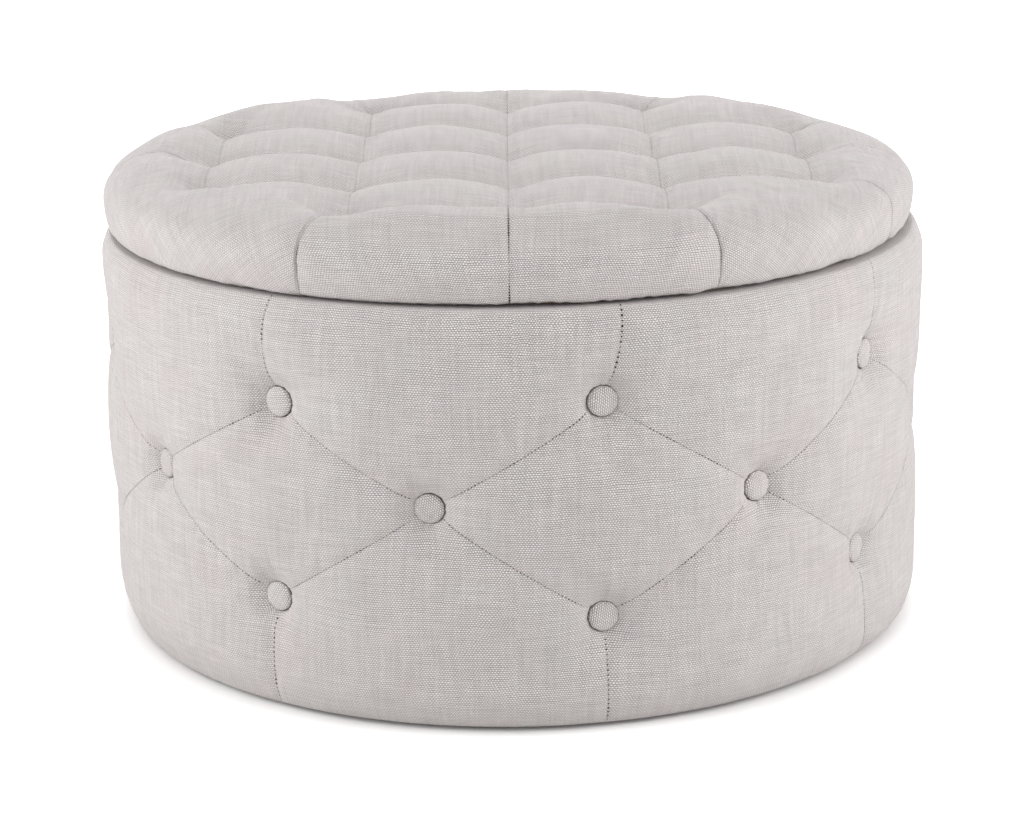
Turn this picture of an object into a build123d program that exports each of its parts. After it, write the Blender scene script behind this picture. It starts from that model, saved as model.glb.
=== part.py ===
from build123d import *
from math import cos, pi, radians, sin, sqrt
import os

# Round storage ottoman with a lift-off lid, in millimetres.
# The origin is on the floor at the middle of the drum, +Z is up and the front is towards -Y.
# Angles round the drum are counted in degrees from the front, towards +X.

# Overall sizes
overall_radius = 400.0
drum_height = 388.0
lid_thickness = 69.5
lid_setback = 6.0
lid_rest_gap = 0.3
overrun = 12.0

# Cloths, twine and glue lines
cover_thickness = 1.2
dust_cloth_thickness = 0.8
lining_thickness = 1.0
twine_radius = 0.8
twine_hole_radius = 2.5
fit_gap = 0.1

# Side padding: foam wrap, dimples, seams and rounded edges
padding_depth = 20.0
rim_padding = 4.0
pressed_foam = 2.0
dimple_depth = 11.0
side_seam_depth = 2.0
top_round_drop = 10.0
top_round_height = 30.0
bottom_round_drop = 15.0
bottom_round_height = 40.0

# Covered buttons
buttons_per_row = 8
middle_row_angle = -11.0
lower_row_height = 107.0
middle_row_height = 206.0
upper_row_height = 297.0
button_radius = 13.5
button_edge = 2.6
button_crown = 3.8
button_pocket_gap = 0.3
seat_half_angle = 2.0
rim_seam_half_angle = 0.5
toggle_radius = 5.0
toggle_thickness = 4.0

# Heights of the side sections, as shares of the stretch that they lie in
edge_round_shares = (0.3, 0.65)
row_gap_shares = (0.22, 0.5, 0.78)
outer_gap_shares = (0.45, 0.78)

# Frame of the drum
board_thickness = 15.0
wall_thickness = 6.0
hoop_width = 30.0
hoop_thickness = 18.0
upright_width = 40.0
upright_depth = 24.0
wall_butt_gap = 1.0
liner_thickness = 2.5
liner_setback = 8.0
floor_panel_thickness = 3.0

# Cover hems
bottom_hem_width = 40.0
rim_hem_height = 26.0
dust_cover_setback = 22.0

# Glides and fasteners
glide_count = 6
glide_radius = 14.0
glide_height = 3.0
glide_inset = 45.0
glide_nail_sink = 1.0
nail_radius = 1.4
nail_head_radius = 3.5
nail_head_height = 1.0
nail_length = 14.0
screw_radius = 2.0
screw_head_radius = 4.0
screw_head_height = 2.6
hoop_screw_length = 28.0
upright_screw_length = 40.0
block_screw_length = 24.0
wall_nail_length = 20.0
wall_nails_per_hoop = 16
staple_wire = 1.0
staple_width = 10.0
staple_leg = 7.0
staple_inset = 8.0
staples_per_hem = 24

# Lid: board, blocks and hem
lid_board_thickness = 12.0
lid_edge_padding = 16.0
lid_lower_round = 8.0
lid_hem_width = 32.0
lid_lining_setback = 24.0
block_count = 4
block_arc = 24.0
block_width = 20.0
block_height = 15.0
block_clearance = 4.0
block_screw_share = 0.25

# Lid cushion: rolled rim and square tufting
crown_edge_radius = 16.0
crown_top_radius = 115.0
crown_join_angle = 55.0
tuft_pitch = 143.0
tuft_depth = 33.0
valley_depth = 13.0
rim_seam_depth = 5.0
rim_seam_fall = 53.0
end_swell = 4.0
least_bulge = 0.5
fan_share = 0.65
rim_fade_share = 1 / 3
row_end_share = 1.5
bell_power = 1.4
tuft_section_shares = (0.0, 0.17, 0.5, 0.83)
rim_section_shares = (0.2, 0.42, 0.66, 0.84, 0.95)
tuft_reaches = {-2: 1, -1: 2, 0: 2, 1: 2, 2: 1}

# Levels, from the floor up
dust_cover_bottom = glide_height
cover_bottom = dust_cover_bottom + dust_cloth_thickness
board_bottom = cover_bottom + cover_thickness
board_top = board_bottom + board_thickness
lower_hoop_top = board_top + hoop_thickness
wall_top = drum_height - cover_thickness - rim_padding
upper_hoop_bottom = wall_top - hoop_thickness
lid_bottom = drum_height + lid_rest_gap
lid_cover_bottom = lid_bottom + dust_cloth_thickness
lid_board_bottom = lid_cover_bottom + cover_thickness
lid_board_top = lid_board_bottom + lid_board_thickness
lid_crest = lid_bottom + lid_thickness

# Radii, from the outside in
wall_outer_radius = overall_radius - padding_depth
wall_inner_radius = wall_outer_radius - wall_thickness
hoop_outer_radius = wall_inner_radius - fit_gap
hoop_inner_radius = hoop_outer_radius - hoop_width
liner_outer_radius = hoop_inner_radius - cover_thickness - staple_wire - fit_gap
liner_inner_radius = liner_outer_radius - liner_thickness
cavity_radius = liner_inner_radius - lining_thickness
floor_panel_radius = cavity_radius - fit_gap
lid_radius = overall_radius - lid_setback
lid_board_radius = lid_radius - lid_edge_padding
seat_distance = wall_outer_radius + pressed_foam + cover_thickness
dust_cover_radius = wall_inner_radius - dust_cover_setback
glide_circle = wall_inner_radius - glide_inset
toggle_seat = sqrt(wall_inner_radius**2 - toggle_radius**2)

# Angles of the repeats
button_step = 360.0 / buttons_per_row
outer_row_angle = middle_row_angle + button_step / 2
upright_angle = middle_row_angle + button_step / 4
row_places = {
    "upper": (upper_row_height, outer_row_angle),
    "middle": (middle_row_height, middle_row_angle),
    "lower": (lower_row_height, outer_row_angle),
}


# Plain helpers

def disc(radius, low, high):
    """Upright cylinder round the middle axis, between two levels."""
    return Pos(0, 0, (low + high) / 2) * Cylinder(radius, high - low)


def ring(inner_radius, outer_radius, low, high):
    """Flat or tall ring round the middle axis, between two levels."""
    hole = disc(inner_radius, low - overrun, high + overrun)
    return disc(outer_radius, low, high) - hole


def turned(angle):
    """Turn that brings +X to the given angle, counted from the front."""
    return Rot(0, 0, angle - 90)


def ring_angles(count, first=0.0):
    """Even angles round the drum."""
    return [first + 360.0 * number / count for number in range(count)]


def radial_rod(radius, inner, outer, angle, level):
    """Level cylinder that points away from the middle axis."""
    rod = Pos((inner + outer) / 2, 0, level) * Rot(0, 90, 0) * Cylinder(radius, outer - inner)
    return turned(angle) * rod


def save(name, *solids):
    """Write one node, as a single solid or a group of separate ones."""
    parts = [solid for shape in solids for solid in shape.solids()]
    group = parts[0] if len(parts) == 1 else Compound(parts)
    group.label = name
    export_step(group, os.path.join("parts", name + ".step"))
    return group


def bell(offset, pitch):
    """One at every whole pitch and zero midway between."""
    return ((1 + cos(2 * pi * offset / pitch)) / 2) ** bell_power


# Fasteners, each built pointing along +Z with its head at the bottom

def screw(length):
    """Countersunk screw, its head's flat face at zero and its tip at the given length."""
    head = Pos(0, 0, screw_head_height / 2) * Cone(screw_head_radius, screw_radius, screw_head_height)
    shank_length = length - screw_head_height
    shank = Pos(0, 0, screw_head_height + shank_length / 2) * Cylinder(screw_radius, shank_length)
    return head + shank


def nail(length):
    """Flat-headed nail, its head's flat face at zero."""
    head = Pos(0, 0, nail_head_height / 2) * Cylinder(nail_head_radius, nail_head_height)
    shank_length = length - nail_head_height
    shank = Pos(0, 0, nail_head_height + shank_length / 2) * Cylinder(nail_radius, shank_length)
    return head + shank


def staple():
    """Wire staple, its crown along Y under zero and its legs upwards."""
    crown = Pos(0, 0, -staple_wire / 2) * Box(staple_wire, staple_width, staple_wire)
    side = (staple_width - staple_wire) / 2
    legs = [Pos(0, way * side, staple_leg / 2) * Box(staple_wire, staple_wire, staple_leg) for way in (-1, 1)]
    return crown + legs[0] + legs[1]


def around(item, radius, level, angles, tilt=0.0):
    """Copies of an item on a circle; a tilt of 90 turns its +Z outwards."""
    return [turned(angle) * Pos(radius, 0, level) * Rot(0, tilt, 0) * item for angle in angles]


# Outer form of the drum, as one loft through level rings of arcs

def rounded_drop(level, low, high):
    """How far the side draws in towards its rounded top and bottom edges."""
    top_start = high - top_round_height
    bottom_end = low + bottom_round_height
    if level > top_start:
        share = (level - top_start) / top_round_height
        return top_round_drop * (1 - sqrt(max(0.0, 1 - share * share)))
    if level < bottom_end:
        share = (bottom_end - level) / bottom_round_height
        return bottom_round_drop * (1 - sqrt(max(0.0, 1 - share * share)))
    return 0.0


def seam_half_angle(level):
    """Half the angle between the two seams that leave an upper or lower button at this level."""
    quarter = button_step / 2 - 2 * seat_half_angle
    if level > upper_row_height:
        share = (level - upper_row_height) / (drum_height - upper_row_height)
        return seat_half_angle + (rim_seam_half_angle - seat_half_angle) * min(1.0, share)
    if level < lower_row_height:
        share = (lower_row_height - level) / lower_row_height
        return seat_half_angle + (rim_seam_half_angle - seat_half_angle) * share
    if level > middle_row_height:
        share = (upper_row_height - level) / (upper_row_height - middle_row_height)
    else:
        share = (level - lower_row_height) / (middle_row_height - lower_row_height)
    return seat_half_angle + quarter * share


def dimple_share(level):
    """One at the height of a button row, falling to zero halfway to the next row."""
    reach = (upper_row_height - middle_row_height) / 2
    nearest = min(abs(level - height) for height, first in row_places.values())
    return cos(pi / 2 * min(1.0, nearest / reach)) ** 2


def drum_ring(level, low, high, skin):
    """Closed wire of arcs at one level: drawn in at the seams and full between them."""
    full = overall_radius - rounded_drop(level, low, high) - skin
    seam = full - side_seam_depth - (dimple_depth - side_seam_depth) * dimple_share(level)
    half = seam_half_angle(level)
    arcs = []
    for centre in ring_angles(buttons_per_row, outer_row_angle):
        for middle, reach in ((centre, half), (centre + button_step / 2, button_step / 2 - half)):
            share = (reach - seat_half_angle) / (button_step / 4 - seat_half_angle)
            swell = sin(pi / 2 * min(1.0, max(0.0, share)))
            crest = seam + (full - seam) * swell
            start, top, end = (
                Vector(radius * sin(radians(angle)), -radius * cos(radians(angle)), level)
                for radius, angle in ((seam, middle - reach), (crest, middle), (seam, middle + reach))
            )
            arcs.append(Edge.make_three_point_arc(start, top, end))
    return Wire(arcs)


def between(low, high, shares):
    """Levels at the given shares of the way from low to high."""
    return [low + (high - low) * share for share in shares]


def drum_form(skin):
    """Padded drum with a skin of the given thickness taken off, and a pocket for each button."""
    low = cover_bottom + skin
    high = drum_height - skin
    bottom_end = low + bottom_round_height
    top_start = high - top_round_height
    levels = [low, *between(low, bottom_end, edge_round_shares), bottom_end]
    levels += [*between(bottom_end, lower_row_height, outer_gap_shares), lower_row_height]
    levels += [*between(lower_row_height, middle_row_height, row_gap_shares), middle_row_height]
    levels += [*between(middle_row_height, upper_row_height, row_gap_shares), upper_row_height]
    levels += [*between(top_start, upper_row_height, outer_gap_shares)][::-1]
    levels += [top_start, *between(high, top_start, edge_round_shares)[::-1], high]
    form = Solid.make_loft([drum_ring(level, low, high, skin) for level in levels], ruled=True)
    pocket_radius = button_radius + button_pocket_gap + skin
    pockets = [
        radial_rod(pocket_radius, seat_distance - skin, overall_radius + overrun, angle, height)
        for height, first in row_places.values()
        for angle in ring_angles(buttons_per_row, first)
    ]
    return form.cut(*[pocket.solid() for pocket in pockets])


# Outer form of the lid, as a tufted block cut to the round rim

def crown_drop(radius):
    """How far the rolled rim lies below the crest at this distance from the middle."""
    join_angle = radians(crown_join_angle)
    top_run = crown_top_radius * cos(join_angle)
    edge_run = crown_edge_radius * (1 - cos(join_angle))
    run = radius - (lid_radius - top_run - edge_run)
    if run <= 0:
        return 0.0
    if run <= top_run:
        return crown_top_radius - sqrt(crown_top_radius**2 - run**2)
    join_drop = crown_top_radius * (1 - sin(join_angle))
    left = max(0.0, top_run + edge_run - run)
    side = crown_edge_radius - left
    rise = sqrt(max(0.0, crown_edge_radius**2 - side**2))
    return join_drop + crown_edge_radius * sin(join_angle) - rise


def column_depth(column, place):
    """Depth of a sewn line below the crest, along one column of tufts."""
    away = abs(place)
    reach = tuft_reaches[column] * tuft_pitch
    if away <= reach:
        return valley_depth + (tuft_depth - valley_depth) * bell(away, tuft_pitch)
    fade = cos(pi / 2 * min(1.0, (away - reach) / (tuft_pitch * rim_fade_share))) ** 2
    if abs(column) == max(tuft_reaches):
        return tuft_depth * fade
    rim_depth = crown_drop(min(away, lid_radius)) + rim_seam_depth
    return max(tuft_depth * fade, min(rim_depth, tuft_depth))


def column_place(column, place):
    """Where a column's sewn line lies; the outer lines fan out towards the rim."""
    beyond = max(0.0, abs(place) - max(tuft_reaches) * tuft_pitch)
    fan = fan_share * beyond if abs(column) == 1 else 0.0
    return column * (tuft_pitch + fan)


def row_share(place, across):
    """How strongly a sewn row marks this place: one on a row, zero midway or off its end."""
    row = round(place / tuft_pitch)
    if row not in tuft_reaches or abs(across) > tuft_reaches[row]:
        return 0.0
    return bell(place, tuft_pitch)


def tuft_section(place, skin):
    """Upright wire across the lid: one arc between each two sewn lines, over a deep flat bottom."""
    columns = sorted(tuft_reaches)
    side = lid_radius + overrun
    crest = lid_crest - skin
    floor_level = lid_bottom - overrun
    near_middle = abs(place) < row_end_share * tuft_pitch
    rim_share = row_share(place, max(tuft_reaches) - 1) if near_middle else 0.0
    tops = [(-side, crest - rim_seam_fall * rim_share)]
    tops += [(column_place(column, place), crest - column_depth(column, place)) for column in columns]
    tops += [(side, crest - rim_seam_fall * rim_share)]
    edges = []
    for number, (left, right) in enumerate(zip(tops, tops[1:])):
        middle = (left[0] + right[0]) / 2
        if number in (0, len(tops) - 2):
            height = crest + end_swell - (valley_depth - least_bulge) * rim_share
        else:
            row_depth = valley_depth * row_share(place, columns[0] + number - 1 / 2)
            height = crest - row_depth
        height = max(height, (left[1] + right[1]) / 2 + least_bulge)
        points = [Vector(across, place, level) for across, level in (left, (middle, height), right)]
        edges.append(Edge.make_three_point_arc(*points))
    corners = [tops[-1], (side, floor_level), (-side, floor_level), tops[0]]
    for start, end in zip(corners, corners[1:]):
        edges.append(Edge.make_line(Vector(start[0], place, start[1]), Vector(end[0], place, end[1])))
    return Wire(edges)


def tufted_block(skin):
    """Square block whose top has a pillow between each four tufts."""
    reach = max(tuft_reaches)
    last = reach * tuft_pitch
    places = [(row + share) * tuft_pitch for row in range(-reach, reach) for share in tuft_section_shares]
    rim = between(last, lid_radius, rim_section_shares) + [lid_radius + overrun]
    places = [-place for place in reversed(rim)] + places + [last] + rim
    return Solid.make_loft([tuft_section(place, skin) for place in places], ruled=True)


def rolled_body(skin):
    """Round body with a rolled rim, wider than the tufting is deep."""
    join_angle = radians(crown_join_angle)
    edge = crown_edge_radius
    top = crown_top_radius
    side = lid_radius - skin
    low = lid_cover_bottom + skin
    wall_end = lid_crest - skin - edge * sin(join_angle) - top * (1 - sin(join_angle))
    join = (side - edge * (1 - cos(join_angle)), wall_end + edge * sin(join_angle))
    crest_radius = join[0] - top * cos(join_angle)
    half_edge = (side - edge * (1 - cos(join_angle / 2)), wall_end + edge * sin(join_angle / 2))
    top_middle = (join_angle + pi / 2) / 2
    top_centre = (crest_radius, lid_crest - skin - top)
    half_top = (top_centre[0] + top * cos(top_middle), top_centre[1] + top * sin(top_middle))
    lower = lid_lower_round
    half_lower = (side - lower * (1 - cos(pi / 4)), low + lower * (1 - sin(pi / 4)))
    peak = lid_crest - skin + overrun
    lower_arc = ((side - lower, low), half_lower, (side, low + lower))
    edge_arc = ((side, wall_end), half_edge, join)
    top_arc = (join, half_top, (crest_radius, lid_crest - skin))
    arcs = [
        Edge.make_three_point_arc(*[(across, 0, level) for across, level in arc])
        for arc in (lower_arc, edge_arc, top_arc)
    ]
    lines = [
        Edge.make_line((start[0], 0, start[1]), (end[0], 0, end[1]))
        for start, end in (
            ((0, low), lower_arc[0]),
            (lower_arc[-1], edge_arc[0]),
            (top_arc[-1], (0, peak)),
            ((0, peak), (0, low)),
        )
    ]
    return revolve(Face(Wire(arcs + lines)), Axis.Z)


def lid_form(skin):
    """Tufted lid with a skin of the given thickness taken off."""
    return rolled_body(skin).solid().intersect(tufted_block(skin)).solid()


# Drum: frame

def make_glides():
    """Plastic discs that the ottoman stands on, with the nail's hole left open."""
    glide = disc(glide_radius, 0, glide_height) - make_glide_nail()
    return around(glide, glide_circle, 0, ring_angles(glide_count))


def make_glide_nail():
    """Nail whose head is sunk in the glide."""
    return Pos(0, 0, glide_nail_sink) * nail(nail_length)


glide_nails = around(make_glide_nail(), glide_circle, 0, ring_angles(glide_count))
hoop_middle_radius = (hoop_inner_radius + hoop_outer_radius) / 2
upright_angles = ring_angles(buttons_per_row, upright_angle)
hoop_screw_angles = ring_angles(buttons_per_row, upright_angle + button_step / 2)
hoop_screws = around(screw(hoop_screw_length), hoop_middle_radius, board_bottom, hoop_screw_angles)
upright_middle_radius = hoop_outer_radius - fit_gap - upright_depth / 2
low_upright_screws = around(screw(upright_screw_length), upright_middle_radius, board_bottom, upright_angles)
high_upright_screws = around(
    Rot(180, 0, 0) * screw(upright_screw_length), upright_middle_radius, wall_top, upright_angles
)
wall_nail_angles = ring_angles(wall_nails_per_hoop, upright_angle + button_step / 4)
wall_nail = Rot(180, 0, 0) * nail(wall_nail_length)
wall_nail_levels = (board_top + hoop_thickness / 2, upper_hoop_bottom + hoop_thickness / 2)
wall_nails = [
    item
    for level in wall_nail_levels
    for item in around(wall_nail, wall_outer_radius, level, wall_nail_angles, tilt=90)
]
staple_angles = ring_angles(staples_per_hem, wall_nail_angles[0] + 180.0 / staples_per_hem / 2)
bottom_staples = around(staple(), dust_cover_radius - staple_inset, dust_cover_bottom, staple_angles)
rim_staple_level = wall_top - hoop_thickness / 2
rim_staples = around(staple(), hoop_inner_radius - cover_thickness, rim_staple_level, staple_angles, tilt=90)


def cut_each(body, tools):
    """The body with every tool's shape cut out of it."""
    return body.solid().cut(*[tool.solid() for tool in tools])


def button_places():
    """Height and angle of every button."""
    return [
        (height, angle)
        for height, first in row_places.values()
        for angle in ring_angles(buttons_per_row, first)
    ]


def make_button():
    """Flat-domed covered button, its back at zero and its crown towards +Z."""
    rim_point = (button_radius, 0, button_edge)
    crown_point = (0, 0, button_edge + button_crown)
    dome = (button_radius**2 + button_crown**2) / (2 * button_crown)
    half = button_radius / 2
    half_point = (half, 0, button_edge + button_crown - dome + sqrt(dome**2 - half**2))
    outline = [
        Edge.make_line((0, 0, 0), (button_radius, 0, 0)),
        Edge.make_line((button_radius, 0, 0), rim_point),
        Edge.make_three_point_arc(rim_point, half_point, crown_point),
        Edge.make_line(crown_point, (0, 0, 0)),
    ]
    return revolve(Face(Wire(outline)), Axis.Z)


def make_button_row(name):
    """Eight buttons on one level, seated in their pockets."""
    height, first = row_places[name]
    return around(make_button(), seat_distance, height, ring_angles(buttons_per_row, first), tilt=90)


button_twines = [
    radial_rod(twine_radius, toggle_seat, seat_distance, angle, height) for height, angle in button_places()
]
button_toggles = [
    radial_rod(toggle_radius, toggle_seat - toggle_thickness, toggle_seat, angle, height)
    for height, angle in button_places()
]


def make_drum_wall():
    """Bent sheet round the hoops, butted at the back, drilled for the twines and nails."""
    sheet = ring(wall_inner_radius, wall_outer_radius, board_bottom, wall_top)
    back_upright = upright_angles[buttons_per_row // 2]
    butt = Box(padding_depth + overrun, wall_butt_gap, drum_height + overrun)
    butt = turned(back_upright) * Pos(wall_outer_radius, 0, drum_height / 2) * butt
    holes = [
        radial_rod(twine_hole_radius, wall_inner_radius - overrun, wall_outer_radius + overrun, angle, height)
        for height, angle in button_places()
    ]
    return cut_each(sheet, [butt, *holes, *wall_nails])


def make_upright():
    """Post between the hoops, its outer face just clear of the bent wall."""
    half_width = upright_width / 2
    outer = sqrt((hoop_outer_radius - fit_gap) ** 2 - half_width**2)
    length = upper_hoop_bottom - lower_hoop_top
    middle = outer - upright_depth / 2
    return Pos(middle, 0, lower_hoop_top + length / 2) * Box(upright_depth, upright_width, length)


def make_side_cover(outer_form, inner_form):
    """Sewn cloth over the padding, turned in under the board and down inside the hoop."""
    inside = hoop_inner_radius - cover_thickness
    cloth = outer_form.cut(inner_form)
    through = disc(inside, cover_bottom - overrun, drum_height + overrun)
    under = disc(wall_inner_radius - bottom_hem_width, cover_bottom - overrun, board_bottom + fit_gap)
    hem = ring(inside, hoop_inner_radius, drum_height - rim_hem_height, drum_height - cover_thickness)
    cloth = cloth.cut(through.solid(), under.solid())
    return cloth.fuse(hem.solid()).solid()


def make_side_padding(inner_form):
    """Foam wrap between wall and cover, folded over the rim to the hoop's inner edge."""
    core = disc(wall_outer_radius + fit_gap, board_bottom - overrun, wall_top)
    hole = disc(hoop_inner_radius, board_bottom - overrun, drum_height + overrun)
    return inner_form.cut(core.solid(), hole.solid()).solid()


def make_drum():
    """Every piece of the drum."""
    save("glide_feet", *make_glides())
    save("glide_nails", *glide_nails)
    dust_cover = disc(dust_cover_radius, dust_cover_bottom, cover_bottom)
    save("dust_cover", cut_each(dust_cover, glide_nails + bottom_staples))
    board = disc(hoop_outer_radius, board_bottom, board_top)
    save("bottom_board", cut_each(board, glide_nails + hoop_screws + low_upright_screws + bottom_staples))
    lower_hoop = ring(hoop_inner_radius, hoop_outer_radius, board_top, lower_hoop_top)
    save("lower_hoop", cut_each(lower_hoop, hoop_screws + low_upright_screws + wall_nails))
    upper_hoop = ring(hoop_inner_radius, hoop_outer_radius, upper_hoop_bottom, wall_top)
    save("upper_hoop", cut_each(upper_hoop, high_upright_screws + wall_nails + rim_staples))
    uprights = [
        cut_each(turned(angle) * make_upright(), [low, high])
        for angle, low, high in zip(upright_angles, low_upright_screws, high_upright_screws)
    ]
    save("uprights", *uprights)
    save("hoop_screws", *hoop_screws)
    save("upright_screws", *low_upright_screws, *high_upright_screws)
    save("wall_nails", *wall_nails)
    save("drum_wall", make_drum_wall())
    outer_form = drum_form(0.0)
    inner_form = drum_form(cover_thickness)
    save("side_padding", cut_each(make_side_padding(inner_form), button_twines))
    save("side_cover", cut_each(
        make_side_cover(outer_form, inner_form), button_twines + bottom_staples + rim_staples))
    for name in row_places:
        save(name + "_row_buttons", *make_button_row(name))
    save("button_twines", *button_twines)
    save("button_toggles", *button_toggles)
    save("bottom_staples", *bottom_staples)
    save("rim_staples", *rim_staples)
    liner_top = drum_height - liner_setback
    save("liner_board", ring(liner_inner_radius, liner_outer_radius, board_top, liner_top))
    save("side_lining", ring(cavity_radius, liner_inner_radius, board_top, liner_top))
    floor_panel_top = board_top + floor_panel_thickness
    save("floor_panel", disc(floor_panel_radius, board_top, floor_panel_top))
    save("floor_lining", disc(floor_panel_radius, floor_panel_top, floor_panel_top + lining_thickness))


# Lid

def tuft_places():
    """Middle of every blind tuft."""
    return [
        (column * tuft_pitch, row * tuft_pitch)
        for column, reach in tuft_reaches.items()
        for row in range(-reach, reach + 1)
    ]


def make_block():
    """Curved wooden block that drops inside the drum and keeps the lid in place."""
    outer = cavity_radius - block_clearance
    sector = Cylinder(outer, block_height, arc_size=block_arc, align=(Align.NONE, Align.NONE, Align.CENTER))
    sector = Pos(0, 0, lid_bottom - block_height / 2) * Rot(0, 0, -block_arc / 2) * sector
    core = disc(outer - block_width, lid_bottom - block_height - overrun, lid_bottom + overrun)
    return sector.solid().cut(core.solid()).solid()


def make_lid():
    """Every piece of the lid."""
    block_angles = ring_angles(block_count, 360.0 / block_count / 2)
    block_middle = cavity_radius - block_clearance - block_width / 2
    screw_angles = [angle + way * block_arc * block_screw_share for angle in block_angles for way in (-1, 1)]
    block_screws = around(screw(block_screw_length), block_middle, lid_bottom - block_height, screw_angles)
    hem_staple_radius = lid_board_radius - lid_hem_width + staple_inset / 2
    hem_staples = around(
        staple(), hem_staple_radius, lid_cover_bottom + staple_wire, ring_angles(staples_per_hem)
    )
    twines = [
        Pos(x, y, 0) * disc(twine_radius, lid_board_bottom, lid_crest - cover_thickness - tuft_depth)
        for x, y in tuft_places()
    ]
    tuft_staples = [Pos(x, y, lid_board_bottom) * staple() for x, y in tuft_places()]
    drilled = [
        Pos(x, y, 0) * disc(twine_hole_radius, lid_board_bottom - overrun, lid_board_top + overrun)
        for x, y in tuft_places()
    ]
    board = disc(lid_board_radius, lid_board_bottom, lid_board_top)
    save("lid_board", cut_each(board, drilled + block_screws + hem_staples + tuft_staples))
    outer_form = lid_form(0.0)
    inner_form = lid_form(cover_thickness)
    core = disc(lid_board_radius + fit_gap, lid_bottom - overrun, lid_board_top)
    save("lid_cushion", cut_each(inner_form.cut(core.solid()), twines))
    under = disc(lid_board_radius - lid_hem_width, lid_bottom - overrun, lid_board_bottom + fit_gap)
    cover = outer_form.cut(inner_form).cut(under.solid())
    save("lid_cover", cut_each(cover, hem_staples))
    save("tuft_twines", *twines)
    save("tuft_staples", *tuft_staples)
    save("lid_hem_staples", *hem_staples)
    lining = disc(lid_board_radius - lid_lining_setback, lid_bottom, lid_cover_bottom)
    save("lid_lining", cut_each(lining, block_screws))
    blocks = [turned(angle) * make_block() for angle in block_angles]
    save("locating_blocks", *[cut_each(block, block_screws) for block in blocks])
    save("block_screws", *block_screws)


def main():
    """Build every node."""
    os.makedirs("parts", exist_ok=True)
    make_drum()
    make_lid()


main()
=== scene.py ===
import bpy
import numpy as np
from mathutils import Euler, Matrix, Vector


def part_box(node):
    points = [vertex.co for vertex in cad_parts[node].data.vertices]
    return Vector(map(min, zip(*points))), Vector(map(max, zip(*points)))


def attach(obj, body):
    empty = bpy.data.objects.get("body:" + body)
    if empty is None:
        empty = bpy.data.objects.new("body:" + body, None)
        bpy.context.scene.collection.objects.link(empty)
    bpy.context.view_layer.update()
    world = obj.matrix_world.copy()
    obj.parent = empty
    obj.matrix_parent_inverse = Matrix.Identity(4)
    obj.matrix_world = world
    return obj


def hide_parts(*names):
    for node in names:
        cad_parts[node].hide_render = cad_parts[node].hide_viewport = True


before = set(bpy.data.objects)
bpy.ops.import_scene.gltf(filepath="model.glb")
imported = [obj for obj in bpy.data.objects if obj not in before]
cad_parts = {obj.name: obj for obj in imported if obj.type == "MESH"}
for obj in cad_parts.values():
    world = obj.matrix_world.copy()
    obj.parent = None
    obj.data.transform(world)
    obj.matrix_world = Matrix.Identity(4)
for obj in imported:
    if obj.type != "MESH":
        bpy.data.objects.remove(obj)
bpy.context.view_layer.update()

bl_info = {
    "name": "Tufted Storage Ottoman",
    "version": (1, 0, 0),
    "blender": (4, 5, 0),
    "location": "3D View > Sidebar > Ottoman",
    "description": "Dresses the frame of a round storage ottoman in its cloth, buttons, seams and linings",
    "category": "Add Mesh",
}

# The frame's own box and levels, in metres. The origin is on the floor at the middle of the drum and
# the front is towards -Y. Angles round the drum are counted from the front, towards +X.
MM = 0.001
side_low, side_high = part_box("side_cover")
lid_low, lid_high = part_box("lid_cover")
board_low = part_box("bottom_board")[0]
lid_board_low, lid_board_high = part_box("lid_board")
hoop_low, hoop_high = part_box("upper_hoop")
wall_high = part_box("drum_wall")[1]
liner_low, liner_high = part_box("side_lining")
FULL_TURN = 2 * np.pi

# Places of the buttons and tufts
BUTTON_COUNT = 8
BUTTON_STEP = FULL_TURN / BUTTON_COUNT
OUTER_ROW_ANGLE = np.radians(11.5)
ROW_LEVELS = {"lower_row_buttons": 0.107, "middle_row_buttons": 0.206, "upper_row_buttons": 0.297}
MIDDLE = ROW_LEVELS["middle_row_buttons"]
SEAT_DISTANCE = 0.3832
TUFT_PITCH = 0.143
TUFT_REACHES = {0: 2, 1: 2, 2: 1}
RIM_SEAM_ANGLE = np.radians(27.8)
SIDE_SEAM_ANGLE = np.radians(25)
CREST = 0.4578
# The lid's seams that run from front to back are shallower than the ones across
LENGTHWISE_SHARE = 0.35
# Share of the full depth of rim seams that the photograph shows shallow or not at all, by side and place
RIM_SEAM_SHARES = {(1, 1): 0.4, (1, 0): 0.3, (1, -1): 0.3, (2, 1): 0.0}

# How far the buttons that the photograph shows sit from even places, across and up, in millimetres
HAND_SHIFTS = {
    "upper_row_buttons": {0: (0.0, 5.5), 1: (3.0, 0.6), 6: (0.0, -5.0), 7: (6.5, -5.8)},
    "middle_row_buttons": {0: (0.7, -0.3), 6: (-4.9, -4.6), 7: (-1.2, 1.2)},
    "lower_row_buttons": {0: (0.0, -1.6), 1: (-6.0, 4.5), 6: (-4.0, -7.0), 7: (-0.9, 0.9)},
}
# Directions of the photographed buttons' threads, in degrees from level
BUTTON_TURNS = {
    ("upper_row_buttons", 0): 84, ("upper_row_buttons", 7): 10, ("middle_row_buttons", 7): 140,
    ("middle_row_buttons", 0): 95, ("lower_row_buttons", 0): 80, ("lower_row_buttons", 7): 60,
}
# Directions in which the photographed buttons stand proudest, in degrees from the right, seen from outside
BUTTON_LEANS = {
    ("upper_row_buttons", 0): -160, ("upper_row_buttons", 7): -20, ("middle_row_buttons", 7): 15,
    ("middle_row_buttons", 0): -160, ("lower_row_buttons", 0): -150, ("lower_row_buttons", 7): -25,
    ("upper_row_buttons", 1): 200, ("lower_row_buttons", 1): 200, ("middle_row_buttons", 6): -20,
}
# Sideways bow and lean of the two photographed upright seams at the rim, in millimetres
RIM_SEAM_BOWS = {0: (1.5, 15.0), 7: (-8.5, 1.0)}


# Sizes and colours that a user would change

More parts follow.
